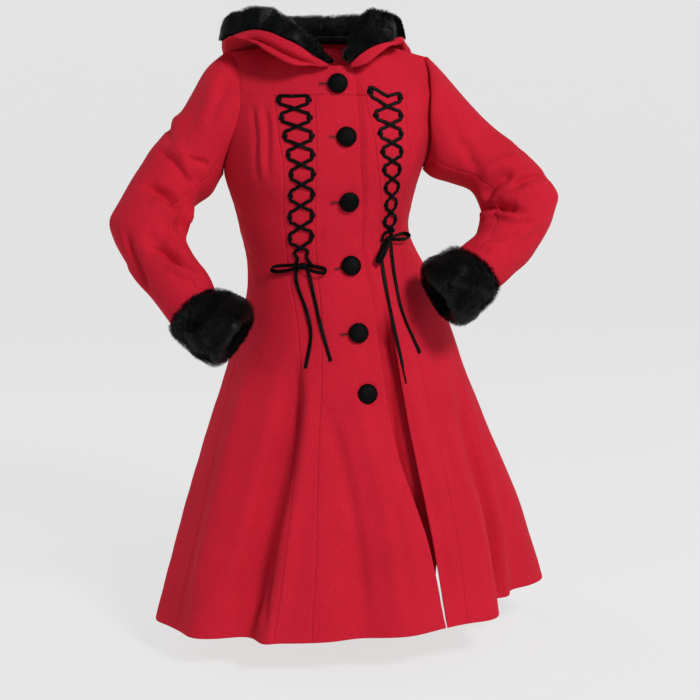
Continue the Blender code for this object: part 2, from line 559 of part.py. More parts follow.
def build_body(wool, place):
    """All the panels of the body, hem to shoulder."""
    front = SKIRT_LEVELS + ARM_LEVELS
    back = front + YOKE_LEVELS[1:]
    edge, under = seam_line("edge"), seam_line("under")
    right_in, right_out = seam_line("r_lace_in"), seam_line("r_lace_out")
    left_in, left_out = seam_line("l_lace_in"), seam_line("l_lace_out")
    right_back, left_back = seam_line("r_back"), seam_line("l_back")
    panel("front_centre_right", right_in, edge, front, 6, wool, place)
    panel("lace_gore_right", right_out, right_in, front, 2, wool, place)
    panel("front_side_right", front_line(-1, "r_side"), right_out, front, 7, wool, place)
    panel("front_yoke_right", front_line(-1, "r_side"), edge, YOKE_LEVELS, 8, wool, place)
    panel("front_centre_left", under, left_in, front[:-1] + (YOKE - LAP_STEP,), 10, wool, place,
          under=True)
    panel("lace_gore_left", left_in, left_out, front, 2, wool, place)
    panel("front_side_left", left_out, front_line(1, "l_side"), front, 7, wool, place)
    panel("front_yoke_left", under, front_line(1, "l_side"), YOKE_LEVELS, 8, wool, place,
          under=True)
    panel("back_side_right", right_back, back_line(-1, "r_side"), back, 7, wool, place)
    panel("back_side_left", back_line(1, "l_side"), left_back, back, 8, wool, place)
    panel("back_centre_right", lambda level: 0 * level - 180.0, right_back, back, 5, wool, place)
    panel("back_centre_left", left_back, lambda level: 0 * level + 180.0, back, 5, wool, place)


# ---- sleeves and cuffs ------------------------------------------------------------------------
def sleeve_ring(section, side, tangent, turn):
    """Points round a sleeve section; turn is 0 at its outer side and 90 at its front."""
    lean = math.radians(section.lean)
    centre = np.array([side * section.x, section.y, section.z])
    outward = np.array([side * math.sin(lean), 0.0, math.cos(lean)])
    forward = unit(np.cross(outward, tangent)) * side
    if forward[1] > 0.0:
        forward = -forward
    t = np.radians(turn)[..., None]
    return (centre + section.half_width * np.cos(t) * outward
            + section.half_depth * np.sin(t) * forward)


def armhole_ring(side, turn):
    """The sleeve's edge at its own angles: one wall proud of the body, lapping its armhole."""
    t = np.radians(turn)
    level = ((UNDERARM + TOP) / 2 + (TOP - UNDERARM) / 2 * np.cos(t)
             - ARMHOLE_DROP * (1.0 - np.cos(t)) / 2)
    ahead = np.sin(t) >= 0.0
    angle = np.where(ahead, armhole(side, True, level), armhole(side, False, level))
    low = np.exp(-((np.abs((turn + 180.0) % 360.0 - 180.0) - WRAP_TURN) / WRAP_HALF) ** 2)
    lap = ARMHOLE_LAP * np.clip((1.0 + np.cos(t)) * 4.0, 0.0, 1.0) * (1.0 + ARMHOLE_WRAP * low)
    angle = angle + np.where(ahead, -side, side) * lap
    rise = CLOTH + ARMHOLE_RISE + ARMHOLE_CROWN * np.clip(np.cos(t), 0.0, 1.0) ** 4
    return body_point(angle, level) + rise[..., None] * body_normal(angle, level)


def sleeve_point(side, sections, turn, along):
    """A point of the sleeve; along is 0 at the armhole and one more at each section."""
    turn, along = np.broadcast_arrays(np.asarray(turn, float), np.asarray(along, float))
    centres = np.array([[side * s.x, s.y, s.z] for s in sections])
    tangents = unit(np.gradient(centres, axis=0))
    rings = [armhole_ring(side, turn)]
    rings += [sleeve_ring(s, side, tangents[k], turn) for k, s in enumerate(sections)]
    stack = np.array(rings)
    last = len(stack) - 1
    i = np.minimum(np.floor(along).astype(int), last - 1)
    f = (along - i)[..., None]
    pick = np.indices(turn.shape)

    def ring_at(k):
        return stack[(k,) + tuple(pick)]

    p1, p2 = ring_at(i), ring_at(i + 1)
    p0 = np.where((i > 0)[..., None], ring_at(np.maximum(i - 1, 0)), 2 * p1 - p2)
    p3 = np.where((i < last - 1)[..., None], ring_at(np.minimum(i + 2, last)), 2 * p2 - p1)
    return 0.5 * (2 * p1 + (p2 - p0) * f + (2 * p0 - 5 * p1 + 4 * p2 - p3) * f ** 2
                  + (3 * p1 - p0 - 3 * p2 + p3) * f ** 3)


def sleeve_normal(side, sections, turn, along):
    """Direction straight out of the sleeve."""
    turn, along = np.broadcast_arrays(np.asarray(turn, float), np.asarray(along, float))
    last = float(len(sections))
    high = np.minimum(along + 0.03, last)
    low = np.maximum(high - 0.06, 0.0)
    high = np.maximum(high, low + 0.06)
    down = (sleeve_point(side, sections, turn, high) - sleeve_point(side, sections, turn, low))
    across = (sleeve_point(side, sections, turn + 1.0, along)
              - sleeve_point(side, sections, turn - 1.0, along))
    return side * unit(np.cross(across, down))


SLEEVE_STEPS = (0.0, 0.3, 0.65, 1.0, 1.5, 2.0, 3.0, 4.0, 4.5, 5.0, 5.5, 6.0, 7.5, 9.0)
UNDER_COLUMNS = 3        # columns of the under sleeve on each side of the armpit


def sleeve_turns():
    """Angles down one half of the sleeve, where the armhole crosses the panels' levels."""
    levels = np.array((UNDERARM,) + ARM_LEVELS + YOKE_LEVELS[1:])[::-1]
    middle, half = (UNDERARM + TOP) / 2, (TOP - UNDERARM) / 2
    return np.degrees(np.arccos(np.clip((levels - middle) / half, -1.0, 1.0)))


def build_sleeve(side, label, sections, wool, place):
    """The top sleeve and the under sleeve, open at the armhole and the cuff."""
    half = math.degrees(SEAM_GAP / SLEEVE_RADIUS)
    down = sleeve_turns()
    split = len(down) - 1 - UNDER_COLUMNS
    top = np.concatenate([-down[split:0:-1], down[:split + 1]])
    under = np.concatenate([down[split:], 360.0 - down[-2:split - 1:-1]])
    top[0] += half
    top[-1] -= half
    under[0] += half
    under[-1] -= half
    for name, turns in (("sleeve_top_" + label, top), ("sleeve_under_" + label, under)):
        turn_grid, along_grid = np.meshgrid(turns, np.array(SLEEVE_STEPS))
        outer = sleeve_point(side, sections, turn_grid, along_grid)
        inner = outer - CLOTH * sleeve_normal(side, sections, turn_grid, along_grid)
        sheet_solid(name, outer, inner, wool, place)


def build_cuff(side, label, sections, end, fur, place):
    """A deep fur cuff: a thick hollow round of the pile's reach."""
    before, last = sections[-2:]
    start = np.array([side * last.x, last.y, last.z])
    stop = np.array([side * end[0], end[1], end[2]])
    came = unit(start - np.array([side * before.x, before.y, before.z]))
    axis = unit(stop - start)
    start = start + axis * CUFF_GAP
    turns = np.arange(CUFF_SIDES) * 360.0 / CUFF_SIDES
    profile = CUFF_PROFILE + ((1.0, CUFF_INNER), (0.5, CUFF_INNER), (0.0, CUFF_INNER))
    rings = []
    for share, radius in profile:
        centre = start + (stop - start) * share
        lean = last.lean + (end[3] - last.lean) * share
        row = SleeveSection("cuff", side * centre[0], centre[1], centre[2], radius, radius, lean)
        rings.append(sleeve_ring(row, side, unit(came * (1.0 - share) + axis * share), turns))
    ring_solid("cuff_fur_" + label, rings, fur, place)


# ---- hood --------------------------------------------------------------------------------------
def neck_point(angle):
    """A point of the neckline at an angle round the neck, 0 at the front."""
    a = math.radians(angle)
    ahead = math.cos(a)
    depth, rise = (-NECK_FRONT, -NECK_DROP) if ahead > 0.0 else (-NECK_BACK, -0.010)
    return np.array([NECK_HALF * math.sin(a), depth * ahead, rise * ahead])


def hood_layers():
    """The wool's and the fur's lines: each row's points from the first line to the last."""
    wool, fur = [], []
    for row, lined in zip(HOOD, FUR):
        seam_at = neck_point(row.neck)
        inward = -unit(seam_at * np.array([1.0, 1.0, 0.0]))
        inside = seam_at + FUR_SEAM_INSET * inward + [0.0, 0.0, FUR_SEAM_LIFT]
        wool.append([seam_at + [0.0, 0.0, HOOD_SEAM_LIFT]] + [list(p) for p in row[2:]])
        fur.append([list(p) for p in lined[1:]] + [inside])
    return np.array(wool, float), np.array(fur, float)


def hood_grid(table):
    """Points of a hood layer, throat to throat and from its first line to its last."""
    rows, count = table.shape[:2]
    stations = np.concatenate([np.linspace(0.0, HOOD_SPLIT, HOOD_STEPS + 1),
                               np.linspace(HOOD_SPLIT, rows - 1.0, HOOD_STEPS + 1)[1:]])
    lines = spline(table.reshape(rows, -1), stations).reshape(len(stations), count, 3)
    shares = np.linspace(0.0, count - 1.0, HOOD_ACROSS + 1)
    return np.array([spline(line, shares) for line in lines])


def fur_wall():
    """The facing's thickness at the columns of its grid."""
    shares = np.linspace(0.0, len(FUR_TAPER) - 1.0, HOOD_ACROSS + 1)
    return FUR_SHEET * np.interp(shares, np.arange(len(FUR_TAPER)), FUR_TAPER)[:, None]


def grid_normals(grid):
    """Directions across a grid of points, toward the inside of the hood's roll."""
    return unit(np.cross(np.gradient(grid, axis=0), np.gradient(grid, axis=1)))


def build_hood(wool, fur, place):
    """The wool shell and the fur facing, each in two halves that meet at the centre back."""
    wool_table, fur_table = hood_layers()
    for table, prefix, wall, material in ((wool_table, "hood_shell_", CLOTH, wool),
                                          (fur_table, "hood_fur_", fur_wall(), fur)):
        grid = hood_grid(table)
        normals = grid_normals(grid)
        normals[HOOD_STEPS, :, 0] = 0.0
        back = grid + wall * unit(normals)
        for label, rows, row, way in (("right", slice(None, HOOD_STEPS + 1), -1, -1.0),
                                      ("left", slice(HOOD_STEPS, None), 0, 1.0)):
            outer, inner = grid[rows].copy(), back[rows].copy()
            outer[row, :, 0] += way * SEAM_GAP / 2
            inner[row, :, 0] += way * SEAM_GAP / 2
            sheet_solid(prefix + label, outer, inner, material, place)


# ---- buttons ----------------------------------------------------------------------------------
def build_buttons(velvet, place):
    """Covered buttons: a domed turned profile each, held off the front by its shank."""
    dome = ((0.0, 1.0), (0.35, 0.96), (0.66, 0.82), (0.90, 0.56), (1.0, 0.28), (0.90, 0.0))
    profile = [(r * BUTTON_RADIUS, h * BUTTON_HEIGHT + BUTTON_SHANK) for r, h in dome]
    profile += [(SHANK_RADIUS, BUTTON_SHANK), (SHANK_RADIUS, 0.0), (0.0, 0.0)]
    for number, button in enumerate(BUTTONS, start=1):
        name = f"button_{number}"
        mesh = bpy.data.meshes.new(name)
        points = [(r, 0.0, h) for r, h in profile]
        mesh.from_pydata(points, [(k, k + 1) for k in range(len(points) - 1)], [])
        obj = bpy.data.objects.new(name, mesh)
        obj.data.materials.append(velvet)
        place.objects.link(obj)
        screw = obj.modifiers.new("turn", "SCREW")
        screw.steps = BUTTON_STEPS
        screw.render_steps = BUTTON_STEPS
        screw.use_merge_vertices = True
        screw.merge_threshold = BUTTON_WELD
        screw.use_smooth_shade = True
        seat, normal = on_cloth(button.angle, button.level, BUTTON_SEAT)
        turn = Vector(normal).to_track_quat("Z", "Y").to_matrix().to_4x4()
        obj.matrix_world = Matrix.Translation(Vector(seat)) @ turn


# ---- lacing and bows -----------------------------------------------------------------------
def on_cloth(angle, level, lift):
    """A point above the cloth, and the direction out of it."""
    normal = body_normal(angle, level)
    bridge = WAIST_LIFT * math.exp(-((level - 4.9) / 1.0) ** 2)
    return body_point(angle, level) + (lift + bridge) * normal, normal


def ribbon_solid(name, points, normals, steps, width, material, place):
    """A flat ribbon along points, lying square to the normals."""
    shares = np.linspace(0.0, len(points) - 1.0, steps + 1)
    route = spline(points, shares)
    facing = unit(spline(normals, shares))
    along = unit(np.gradient(route, axis=0))
    across = unit(np.cross(along, facing))
    facing = unit(np.cross(across, along))
    half = width / 2
    rings = np.stack([route - half * across, route + half * across,
                      route + half * across + RIBBON_THICK * facing,
                      route - half * across + RIBBON_THICK * facing], axis=1)
    return tube_solid(name, rings, material, place)


def gore_angle(lacing, share, level):
    """Angle at a share of the laced gore's width."""
    low, high = seam(lacing.lace_out, level), seam(lacing.lace_in, level)
    return low + (high - low) * share


def strand_route(lacing, first_side):
    """Route of one strand, from the top bar's middle to the knot."""
    sides = (lacing.near, lacing.far)
    low = RIBBON_SEAT
    high = RIBBON_SEAT + RIBBON_THICK + LACE_CLEAR
    beside = LACE_BESIDE if first_side else -LACE_BESIDE
    stops = [(0.5 + beside, lacing.first + LACE_TURN, low)]
    for k in range(lacing.turns):
        share = sides[(first_side + k) % 2]
        level = lacing.first - k * lacing.step
        stops.append((share, level + LACE_TURN, low))
        stops.append((share, level - LACE_TURN, low))
        if k < lacing.turns - 1:
            over = (k + first_side) % 2 == 0
            stops.append((0.5, level - lacing.step / 2, high if over else low))
    toward = lacing.share + (LACE_MEET if stops[-1][0] > 0.5 else -LACE_MEET)
    stops.append((toward, lacing.knot + LACE_MEET_RISE, low))
    pairs = [on_cloth(gore_angle(lacing, share, level), level, lift)
             for share, level, lift in stops]
    return np.array([p for p, _ in pairs]), np.array([n for _, n in pairs])


def build_knot(lacing, velvet, place):
    """The bow's knot: a small flattened ball on the lacing's foot."""
    seat, normal = knot_place(lacing)
    name = "bow_knot_" + lacing.side
    bpy.ops.mesh.primitive_uv_sphere_add(segments=10, ring_count=6, radius=1.0)
    obj = bpy.context.object
    obj.name = name
    obj.data.name = name
    for owner in list(obj.users_collection):
        owner.objects.unlink(obj)
    place.objects.link(obj)
    obj.data.materials.append(velvet)
    obj.data.shade_smooth()
    turn = Vector(normal).to_track_quat("Z", "Y").to_matrix().to_4x4()
    size = Matrix.Diagonal((KNOT_RADIUS, KNOT_RADIUS, KNOT_HEIGHT, 1.0))
    obj.matrix_world = Matrix.Translation(Vector(seat)) @ turn @ size


def knot_place(lacing):
    """Centre of a knot and the direction out of the cloth there."""
    return on_cloth(gore_angle(lacing, lacing.share, lacing.knot), lacing.knot, KNOT_SEAT)


def build_loop(name, lacing, loop, velvet, place):
    """One bow loop: a flattened band out along the cloth to its tip and back to the knot."""
    angle = float(gore_angle(lacing, lacing.share, lacing.knot))
    knot = knot_place(lacing)[0]
    tip = on_cloth(loop.angle, loop.level, loop.lift)[0]
    first = KNOT_REACH / np.linalg.norm(tip - knot)
    out = unit(tip - knot)
    route, square = [], []
    for share, spread in LOOP_OUTLINE:
        along = first + (1.0 - first) * share
        lift = LOOP_ROOT + (loop.lift - LOOP_ROOT) * smooth(2.0 * share)
        point, normal = on_cloth(angle + (loop.angle - angle) * along,
                                 lacing.knot + (loop.level - lacing.knot) * along, lift)
        beside = np.cross(out, normal)
        route.append(point + LOOP_HALF * spread * unit(beside + LOOP_LEAN * normal))
        square.append(unit(normal - LOOP_LEAN * beside))
    facing = np.cross(unit(np.gradient(np.array(route), axis=0)), np.array(square))
    ribbon_solid(name, route, facing, LOOP_STEPS, LACE_WIDTH, velvet, place)


def build_tail(name, lacing, tail, velvet, place):
    """A tail of the bow, from the knot down to its free end."""
    centre, facing = on_cloth(gore_angle(lacing, lacing.share, lacing.knot), lacing.knot,
                              RIBBON_SEAT)
    pairs = [on_cloth(p.angle, p.level, RIBBON_SEAT) for p in tail]
    start = centre + KNOT_REACH * unit(pairs[0][0] - centre)
    points = np.array([start] + [p for p, _ in pairs])
    normals = np.array([facing] + [n for _, n in pairs])
    ribbon_solid(name, points, normals, TAIL_STEPS, RIBBON_WIDTH, velvet, place)


def build_lacing(lacing, velvet, place):
    """Two crossing strands, the bow's knot, its loops and its free tails."""
    for first_side, letter in ((0, "a"), (1, "b")):
        points, normals = strand_route(lacing, first_side)
        ribbon_solid(f"lace_{lacing.side}_{letter}", points, normals, LACE_STEPS, LACE_WIDTH,
                     velvet, place)
    build_knot(lacing, velvet, place)
    for loop in BOW_LOOPS[lacing.side]:
        build_loop(f"bow_loop_{lacing.side}_{loop.name}", lacing, loop, velvet, place)
    for name, tail in BOW_TAILS.items():
        if name.startswith(lacing.side):
            build_tail("bow_tail_" + name, lacing, tail, velvet, place)


# ---- the whole coat ---------------------------------------------------------------------------
def make_material(finish):
    """A plain surface of a colour and roughness."""
    name, colour, roughness = finish
    material = bpy.data.materials.new(name)
    material.use_nodes = True
    shader = material.node_tree.nodes["Principled BSDF"]
    shader.inputs["Base Color"].default_value = colour
    shader.inputs["Roughness"].default_value = roughness
    shader.inputs["Metallic"].default_value = 0.0
    material.diffuse_color = colour
    return material


def build_coat():
    """Every piece of the coat, in one collection."""
    for obj in list(bpy.data.objects):
        bpy.data.objects.remove(obj, do_unlink=True)
    place = bpy.data.collections.new("hooded winter coat")
    bpy.context.scene.collection.children.link(place)
    wool, fur, velvet = (make_material(f) for f in (WOOL, FUR_BLACK, VELVET))
    build_body(wool, place)
    for side, label, sections, end in ((-1, "right", SLEEVE_RIGHT, CUFF_END_RIGHT),
                                       (1, "left", SLEEVE_LEFT, CUFF_END_LEFT)):
        build_sleeve(side, label, sections, wool, place)
        build_cuff(side, label, sections, end, fur, place)
    build_hood(wool, fur, place)
    build_buttons(velvet, place)
    for lacing in LACINGS:
        build_lacing(lacing, velvet, place)


build_coat()
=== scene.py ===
"""Hooded winter coat: finishes, cloth, fur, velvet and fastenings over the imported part.

Metres, +Z up, in the part's own frame: the front faces -Y, the wearer's left is +X, and the
origin lies at the base of the neck. "right" and "left" are the wearer's.
"""
import logging
import math
from collections.abc import Callable, Sequence
from dataclasses import dataclass
from enum import Enum
from typing import NamedTuple

import bpy
import numpy as np
from mathutils import Matrix, Vector
from mathutils.kdtree import KDTree


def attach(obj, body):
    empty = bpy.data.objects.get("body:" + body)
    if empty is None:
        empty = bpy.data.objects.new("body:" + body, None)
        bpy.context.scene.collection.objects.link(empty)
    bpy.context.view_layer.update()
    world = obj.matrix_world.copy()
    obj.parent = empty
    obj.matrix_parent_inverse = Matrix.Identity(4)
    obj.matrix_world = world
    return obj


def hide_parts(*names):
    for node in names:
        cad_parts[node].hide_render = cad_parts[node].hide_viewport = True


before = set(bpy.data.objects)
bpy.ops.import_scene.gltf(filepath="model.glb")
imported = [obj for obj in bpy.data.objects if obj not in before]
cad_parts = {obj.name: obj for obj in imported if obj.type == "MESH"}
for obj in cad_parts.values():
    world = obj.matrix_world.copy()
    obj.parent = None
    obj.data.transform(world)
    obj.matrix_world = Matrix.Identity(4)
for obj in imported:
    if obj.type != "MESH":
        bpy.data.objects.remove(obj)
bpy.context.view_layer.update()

LOG = logging.getLogger("coat")
Array = np.ndarray
Material = bpy.types.Material
Object = bpy.types.Object
Line = Callable[[Array], Array]
Surface = Callable[[Array, Array], Array]


# ---- numbers ----
def smooth(t: Array | float) -> Array:
    """Ease from 0 to 1 over the positions from 0 to 1."""
    t = np.clip(t, 0.0, 1.0)
    return t * t * (3.0 - 2.0 * t)


def blend(p0: Array, p1: Array, p2: Array, p3: Array, f: Array) -> Array:
    """Smooth step from p1 to p2 that also heeds the points before and after them."""
    return 0.5 * (2 * p1 + (p2 - p0) * f + (2 * p0 - 5 * p1 + 4 * p2 - p3) * f ** 2
                  + (3 * p1 - p0 - 3 * p2 + p3) * f ** 3)


def spline(table: Sequence | Array, t: Array | float) -> Array:
    """Smooth curve through the rows of a table.

    Args:
        table: rows of numbers.
        t: row number, which may lie between rows.

    Returns:
        The rows at t.
    """
    rows = np.asarray(table, float)
    last = len(rows) - 1
    t = np.clip(np.asarray(t, float), 0.0, last)
    i = np.minimum(np.floor(t).astype(int), last - 1)
    f = (t - i)[..., None]
    p1, p2 = rows[i], rows[i + 1]
    p0 = np.where((i > 0)[..., None], rows[np.maximum(i - 1, 0)], 2 * p1 - p2)
    p3 = np.where((i < last - 1)[..., None], rows[np.minimum(i + 2, last)], 2 * p2 - p1)
    return blend(p0, p1, p2, p3, f)


def grid_point(table: Array, row: Array, share: Array) -> Array:
    """Points at rows of a table of lines, and at shares of the lines there.

    Args:
        table: lines of points.
        row, share: the places.

    Returns:
        The points.
    """
    lines = spline(table.reshape(len(table), -1), row).reshape(len(row), -1, 3)
    return np.array([spline(line, s) for line, s in zip(lines, share)])


def run_along(points: Array, axis: int = 0) -> Array:
    """Distance of each point from the first one along an axis of a grid.

    Args:
        points: a grid of points.
        axis: the axis.

    Returns:
        The distances.
    """
    steps = np.linalg.norm(np.diff(points, axis=axis), axis=-1)
    pad = [(0, 0)] * steps.ndim
    pad[axis] = (1, 0)
    return np.pad(np.cumsum(steps, axis=axis), pad)


def unit(vectors: Array) -> Array:
    """Vectors made one long."""
    length = np.linalg.norm(vectors, axis=-1, keepdims=True)
    return vectors / np.maximum(length, 1e-12)


def grid_normal(grid: Array) -> Array:
    """Directions across a grid of points: rows cross columns."""
    return unit(np.cross(np.gradient(grid, axis=0), np.gradient(grid, axis=1)))


def ripple(points: Array, size: float, seed: int) -> Array:
    """Slow uneven swell of cloth, between about -1 and 1.

    Args:
        points: places in metres.
        size: length of a swell in metres.
        seed: which of the patterns.

    Returns:
        The swell at each point.
    """
    draw = np.random.default_rng(seed)
    total = np.zeros(points.shape[:-1])
    for _ in range(6):
        wave = draw.normal(size=3)
        wave *= 2.0 * math.pi / (size * np.linalg.norm(wave)) * draw.uniform(0.6, 1.5)
        total = total + np.sin(points @ wave + draw.uniform(0.0, 2.0 * math.pi))
    return total / 3.0


class Side(Enum):
    """A side of the wearer: its sign along X."""

    RIGHT = -1
    LEFT = 1

    @property
    def label(self) -> str:
        """The side's name in the pieces' names."""
        return self.name.lower()


# ---- creases ----
class Crease(NamedTuple):
    """A soft trough or ridge: its path in the surface's own two numbers, half width and rise."""

    path: tuple[tuple[float, float], ...]
    width: float
    rise: float


def creases(rows: Sequence[Sequence[float]]) -> tuple[Crease, ...]:
    """Creases from rows: half width and rise in millimetres, then the path, two numbers a point."""
    return tuple(Crease(tuple(zip(row[2::2], row[3::2])), row[0] / 1000.0, row[1] / 1000.0)
                 for row in rows)


def crease_rise(points: Array, line: Array, width: float, rise: float) -> Array:
    """Height of one crease over a patch of cloth.

    Args:
        points: places on the cloth.
        line: the crease's own points.
        width: its half width in metres.
        rise: its height in metres, less than 0 for a trough.

    Returns:
        The height at each place, fading at the crease's ends.
    """
    low, high = line.min(axis=0) - 3.0 * width, line.max(axis=0) + 3.0 * width
    near = np.all((points > low) & (points < high), axis=-1)
    total = np.zeros(points.shape[:-1])
    if not near.any():
        return total
    at = points[near]
    best = np.full(len(at), 1e9)
    place = np.zeros(len(at))
    lengths = np.linalg.norm(np.diff(line, axis=0), axis=1)
    run = np.concatenate([[0.0], np.cumsum(lengths)])
    for k, (a, b) in enumerate(zip(line[:-1], line[1:])):
        step = b - a
        share = np.clip(((at - a) @ step) / max(float(step @ step), 1e-12), 0.0, 1.0)
        away = np.linalg.norm(at - (a + share[:, None] * step), axis=1)
        closer = away < best
        best = np.where(closer, away, best)
        place = np.where(closer, run[k] + share * lengths[k], place)
    share = place / run[-1]
    fade = smooth(share / 0.24) * smooth((1.0 - share) / 0.24)
    total[near] = rise * fade * np.exp(-(best / width) ** 2)
    return total


# ---- the coat's sizes, the same as its solids' ----
CLOTH = 0.0022           # wool wall
LAP = 0.0042             # the under front below the lapping one
LAP_AT_HEM = 0.0100
LAP_BLEND = 4.5
NECK_HALF = 0.085
NECK_FRONT = 0.084
NECK_BACK = 0.070
NECK_DROP = 0.036
NECK_ANGLE = 40.0
SHOULDER_BULGE = 0.008
TOP = 10.0               # level of the neck and shoulder seam
YOKE = 9.0
UNDERARM = 7.0


class Section(NamedTuple):
    """A section of the body in mm: height, its rise to the left, half width, depths and centre.

    Its turn is in degrees.
    """

    name: str
    height: float
    tilt: float
    half_width: float
    front: float
    back: float
    x: float
    y: float
    turn: float


SECTIONS = (
    Section("hem", -955, 13, 342, 250, 265, 33, 5, 18),
    Section("low skirt", -806, 9, 300, 222, 232, 31, 4, 17),
    Section("mid skirt", -663, 6, 250, 192, 200, 23, 2, 15),
    Section("hip", -545, 6, 206, 165, 172, 18, 0, 12),
    Section("high hip", -440, 18, 170, 138, 142, 12, -2, 9),
    Section("waist", -350, 28, 139, 112, 108, -8, -4, 6),
    Section("rib", -280, 16, 148, 118, 106, -14, -4, 4),
    Section("bust", -210, 4, 168, 128, 112, -17, -3, 2),
    Section("chest", -145, 0, 184, 122, 122, -8, 0, 1),
    Section("yoke", -83, 0, 194, 100, 124, -3, 4, 0),
)
SECTION_UNITS = (1000.0,) * 7 + (1.0,)  # a section's numbers are divided by these
SHOULDER_TIP_RIGHT = (-0.186, -0.013)
SHOULDER_TIP_LEFT = (0.160, -0.020)


class Seams(NamedTuple):
    """Angles of the seams in degrees, at a section's level or at the top."""

    edge: float
    r_lace_in: float
    r_lace_out: float
    r_side: float
    r_back: float
    under: float
    l_lace_in: float
    l_lace_out: float
    l_side: float
    l_back: float


SEAMS = (
    Seams(14, -25, -36, -76, -146, -6, 14.5, 21, 50, 146),
    Seams(12, -24, -34, -75, -144, -8, 14, 23.5, 52, 144),
    Seams(8, -22.5, -31.5, -75, -142, -10, 15, 27, 56, 142),
    Seams(9, -20, -30, -78, -140, -9, 17.5, 30, 63, 140),
    Seams(12, -18, -32.5, -82, -139, -6, 22, 35, 72, 139),
    Seams(19.5, -13, -34, -85, -138, -1, 34.5, 54, 82, 138),
    Seams(22, -9, -29.5, -88, -138, 3, 35, 54, 87, 138),
    Seams(20, -5, -22.5, -90, -138, 2, 30, 50, 90, 138),
    Seams(15.5, -6.5, -26, -90, -136, 2, 23, 43, 90, 136),
    Seams(12.5, -8, -29, -90, -132, -4, 17, 39.5, 90, 132),
    Seams(9.5, -8, -29, -90, -118, -6, 17, 39.5, 90, 118),
)


class Fold(NamedTuple):
    """A large fold of the skirt: the level where it starts, its angles, half width and rise."""

    name: str
    start: float
    angle: float
    hem_angle: float
    width: float
    rise: float


FOLDS = (
    Fold("right front hollow", 3, -20, -12, 6, -0.01),
    Fold("front roll", 2.8, 3, 3, 7, 0.01),
    Fold("right lace hollow", 3.5, -34, -47, 7.5, -0.026),
    Fold("right lace roll", 2.2, -34, -39, 3.5, 0.014),
    Fold("right side roll", 3.2, -60, -63, 7, 0.014),
    Fold("left front roll", 2.7, 37, 29, 6, 0.014),
    Fold("left side hollow", 2.5, 46, 44, 7, -0.05),
    Fold("left side hollow's far half", 2.6, 58, 60, 11, -0.045),
    Fold("left side roll", 2.6, 86, 86, 9, 0.012),
    Fold("left back hollow", 2.8, 108, 110, 9, -0.03),
    Fold("left back roll", 2.6, 128, 130, 8, 0.018),
    Fold("left seat hollow", 3, 150, 152, 8, -0.024),
    Fold("back roll", 2.6, 172, 174, 8, 0.016),
    Fold("right seat hollow", 2.8, -160, -157, 8, -0.02),
    Fold("right back roll", 2.9, -138, -136, 8, 0.018),
    Fold("right back hollow", 2.7, -114, -112, 9, -0.026),
    Fold("right flank roll", 2.4, -93, -91, 7, 0.01),
)
RECESS = Fold("front recess", 4.6, 17.5, 10.5, 3.4, -0.036)
RECESS_DEEPEST = 2.2     # level below which the recess gets no deeper
RECESS_WINDOW = 3.0      # degrees over which it comes up beside the laced gore's seam
RECESS_MARGIN = 0.6      # degrees beside that seam which stay level with the gore


class Fullness(NamedTuple):
    """Fullness of the cloth over the chest."""

    angle: float
    level: float
    width: float
    height: float
    rise: float


FULLNESS = (
    Fullness(-27, 7.2, 22, 1.1, 0.012),
    Fullness(43, 7.2, 22, 1.1, 0.012),
)


class Armhole(NamedTuple):
    """How far the armhole bites into the front and the back at a level, in degrees."""

    level: float
    front_right: float
    front_left: float
    back: float


ARMHOLE = (
    Armhole(7, 0, 0, 0),
    Armhole(7.05, 5, 4, 5),
    Armhole(7.25, 12, 9, 11),
    Armhole(7.6, 21, 15.5, 18),
    Armhole(8.1, 31, 22.5, 25),
    Armhole(8.6, 37, 28, 30),
    Armhole(9, 38.5, 30, 31),
    Armhole(9.4, 26.5, 19.5, 22),
    Armhole(9.7, 16.5, 11.5, 14),
    Armhole(9.9, 9, 6.5, 8),
    Armhole(10, 0, 0, 0),
)
ARMHOLE_LAP = 1.2
ARMHOLE_WRAP = 2.0
WRAP_TURN = 128.0
WRAP_HALF = 32.0
ARMHOLE_DROP = 0.03
SLEEVE_SEAT = 0.0007      # the sleeve's sewn edge above the body's cloth


class ArmSection(NamedTuple):
    """A section of a sleeve in mm: centre and half sizes, and its outer side's lean in degrees."""

    name: str
    x: float
    y: float
    z: float
    half_width: float
    half_depth: float
    lean: float


SLEEVE_RIGHT = (
    ArmSection("head", 204, 0, -132, 90, 74, 8),
    ArmSection("upper arm", 227, -6, -172, 70, 68, 24),
    ArmSection("mid arm", 248, -14, -200, 65, 63, 36),
    ArmSection("above elbow", 282, -30, -239, 57, 57, 53),
    ArmSection("elbow", 303, -60, -290, 64, 58, 83),
    ArmSection("below elbow", 304, -78, -323, 60, 56, 92),
    ArmSection("forearm", 279, -100, -364, 52, 51, 110),
    ArmSection("lower forearm", 248, -122, -400, 49, 47, 121),
    ArmSection("cuff edge", 227, -138, -433, 45, 44, 132),
)
SLEEVE_LEFT = (
    ArmSection("head", 178, 0, -127, 83, 70, 3),
    ArmSection("upper arm", 204, -6, -163, 68, 67, 28),
    ArmSection("mid arm", 236, -12, -185, 59, 61, 37),
    ArmSection("above elbow", 275, -26, -210, 55, 56, 51),
    ArmSection("elbow", 306, -48, -253, 63, 58, 70),
    ArmSection("below elbow", 305, -64, -291, 61, 56, 88),
    ArmSection("forearm", 284, -85, -330, 50, 50, 112),
    ArmSection("lower forearm", 256, -102, -354, 47, 47, 128),
    ArmSection("cuff edge", 234, -116, -371, 45, 44, 138),
)
CUFF_END_RIGHT = (0.158, -0.158, -0.478, 150)
CUFF_END_LEFT = (0.174, -0.136, -0.414, 148)
CUFF_GAP = 0.0008
CUFF_INNER = 0.037
CUFF_PROFILE = ((0.0, 0.047), (0.03, 0.053), (0.15, 0.058), (0.50, 0.062),
                (0.85, 0.062), (0.97, 0.056), (1.0, 0.046))


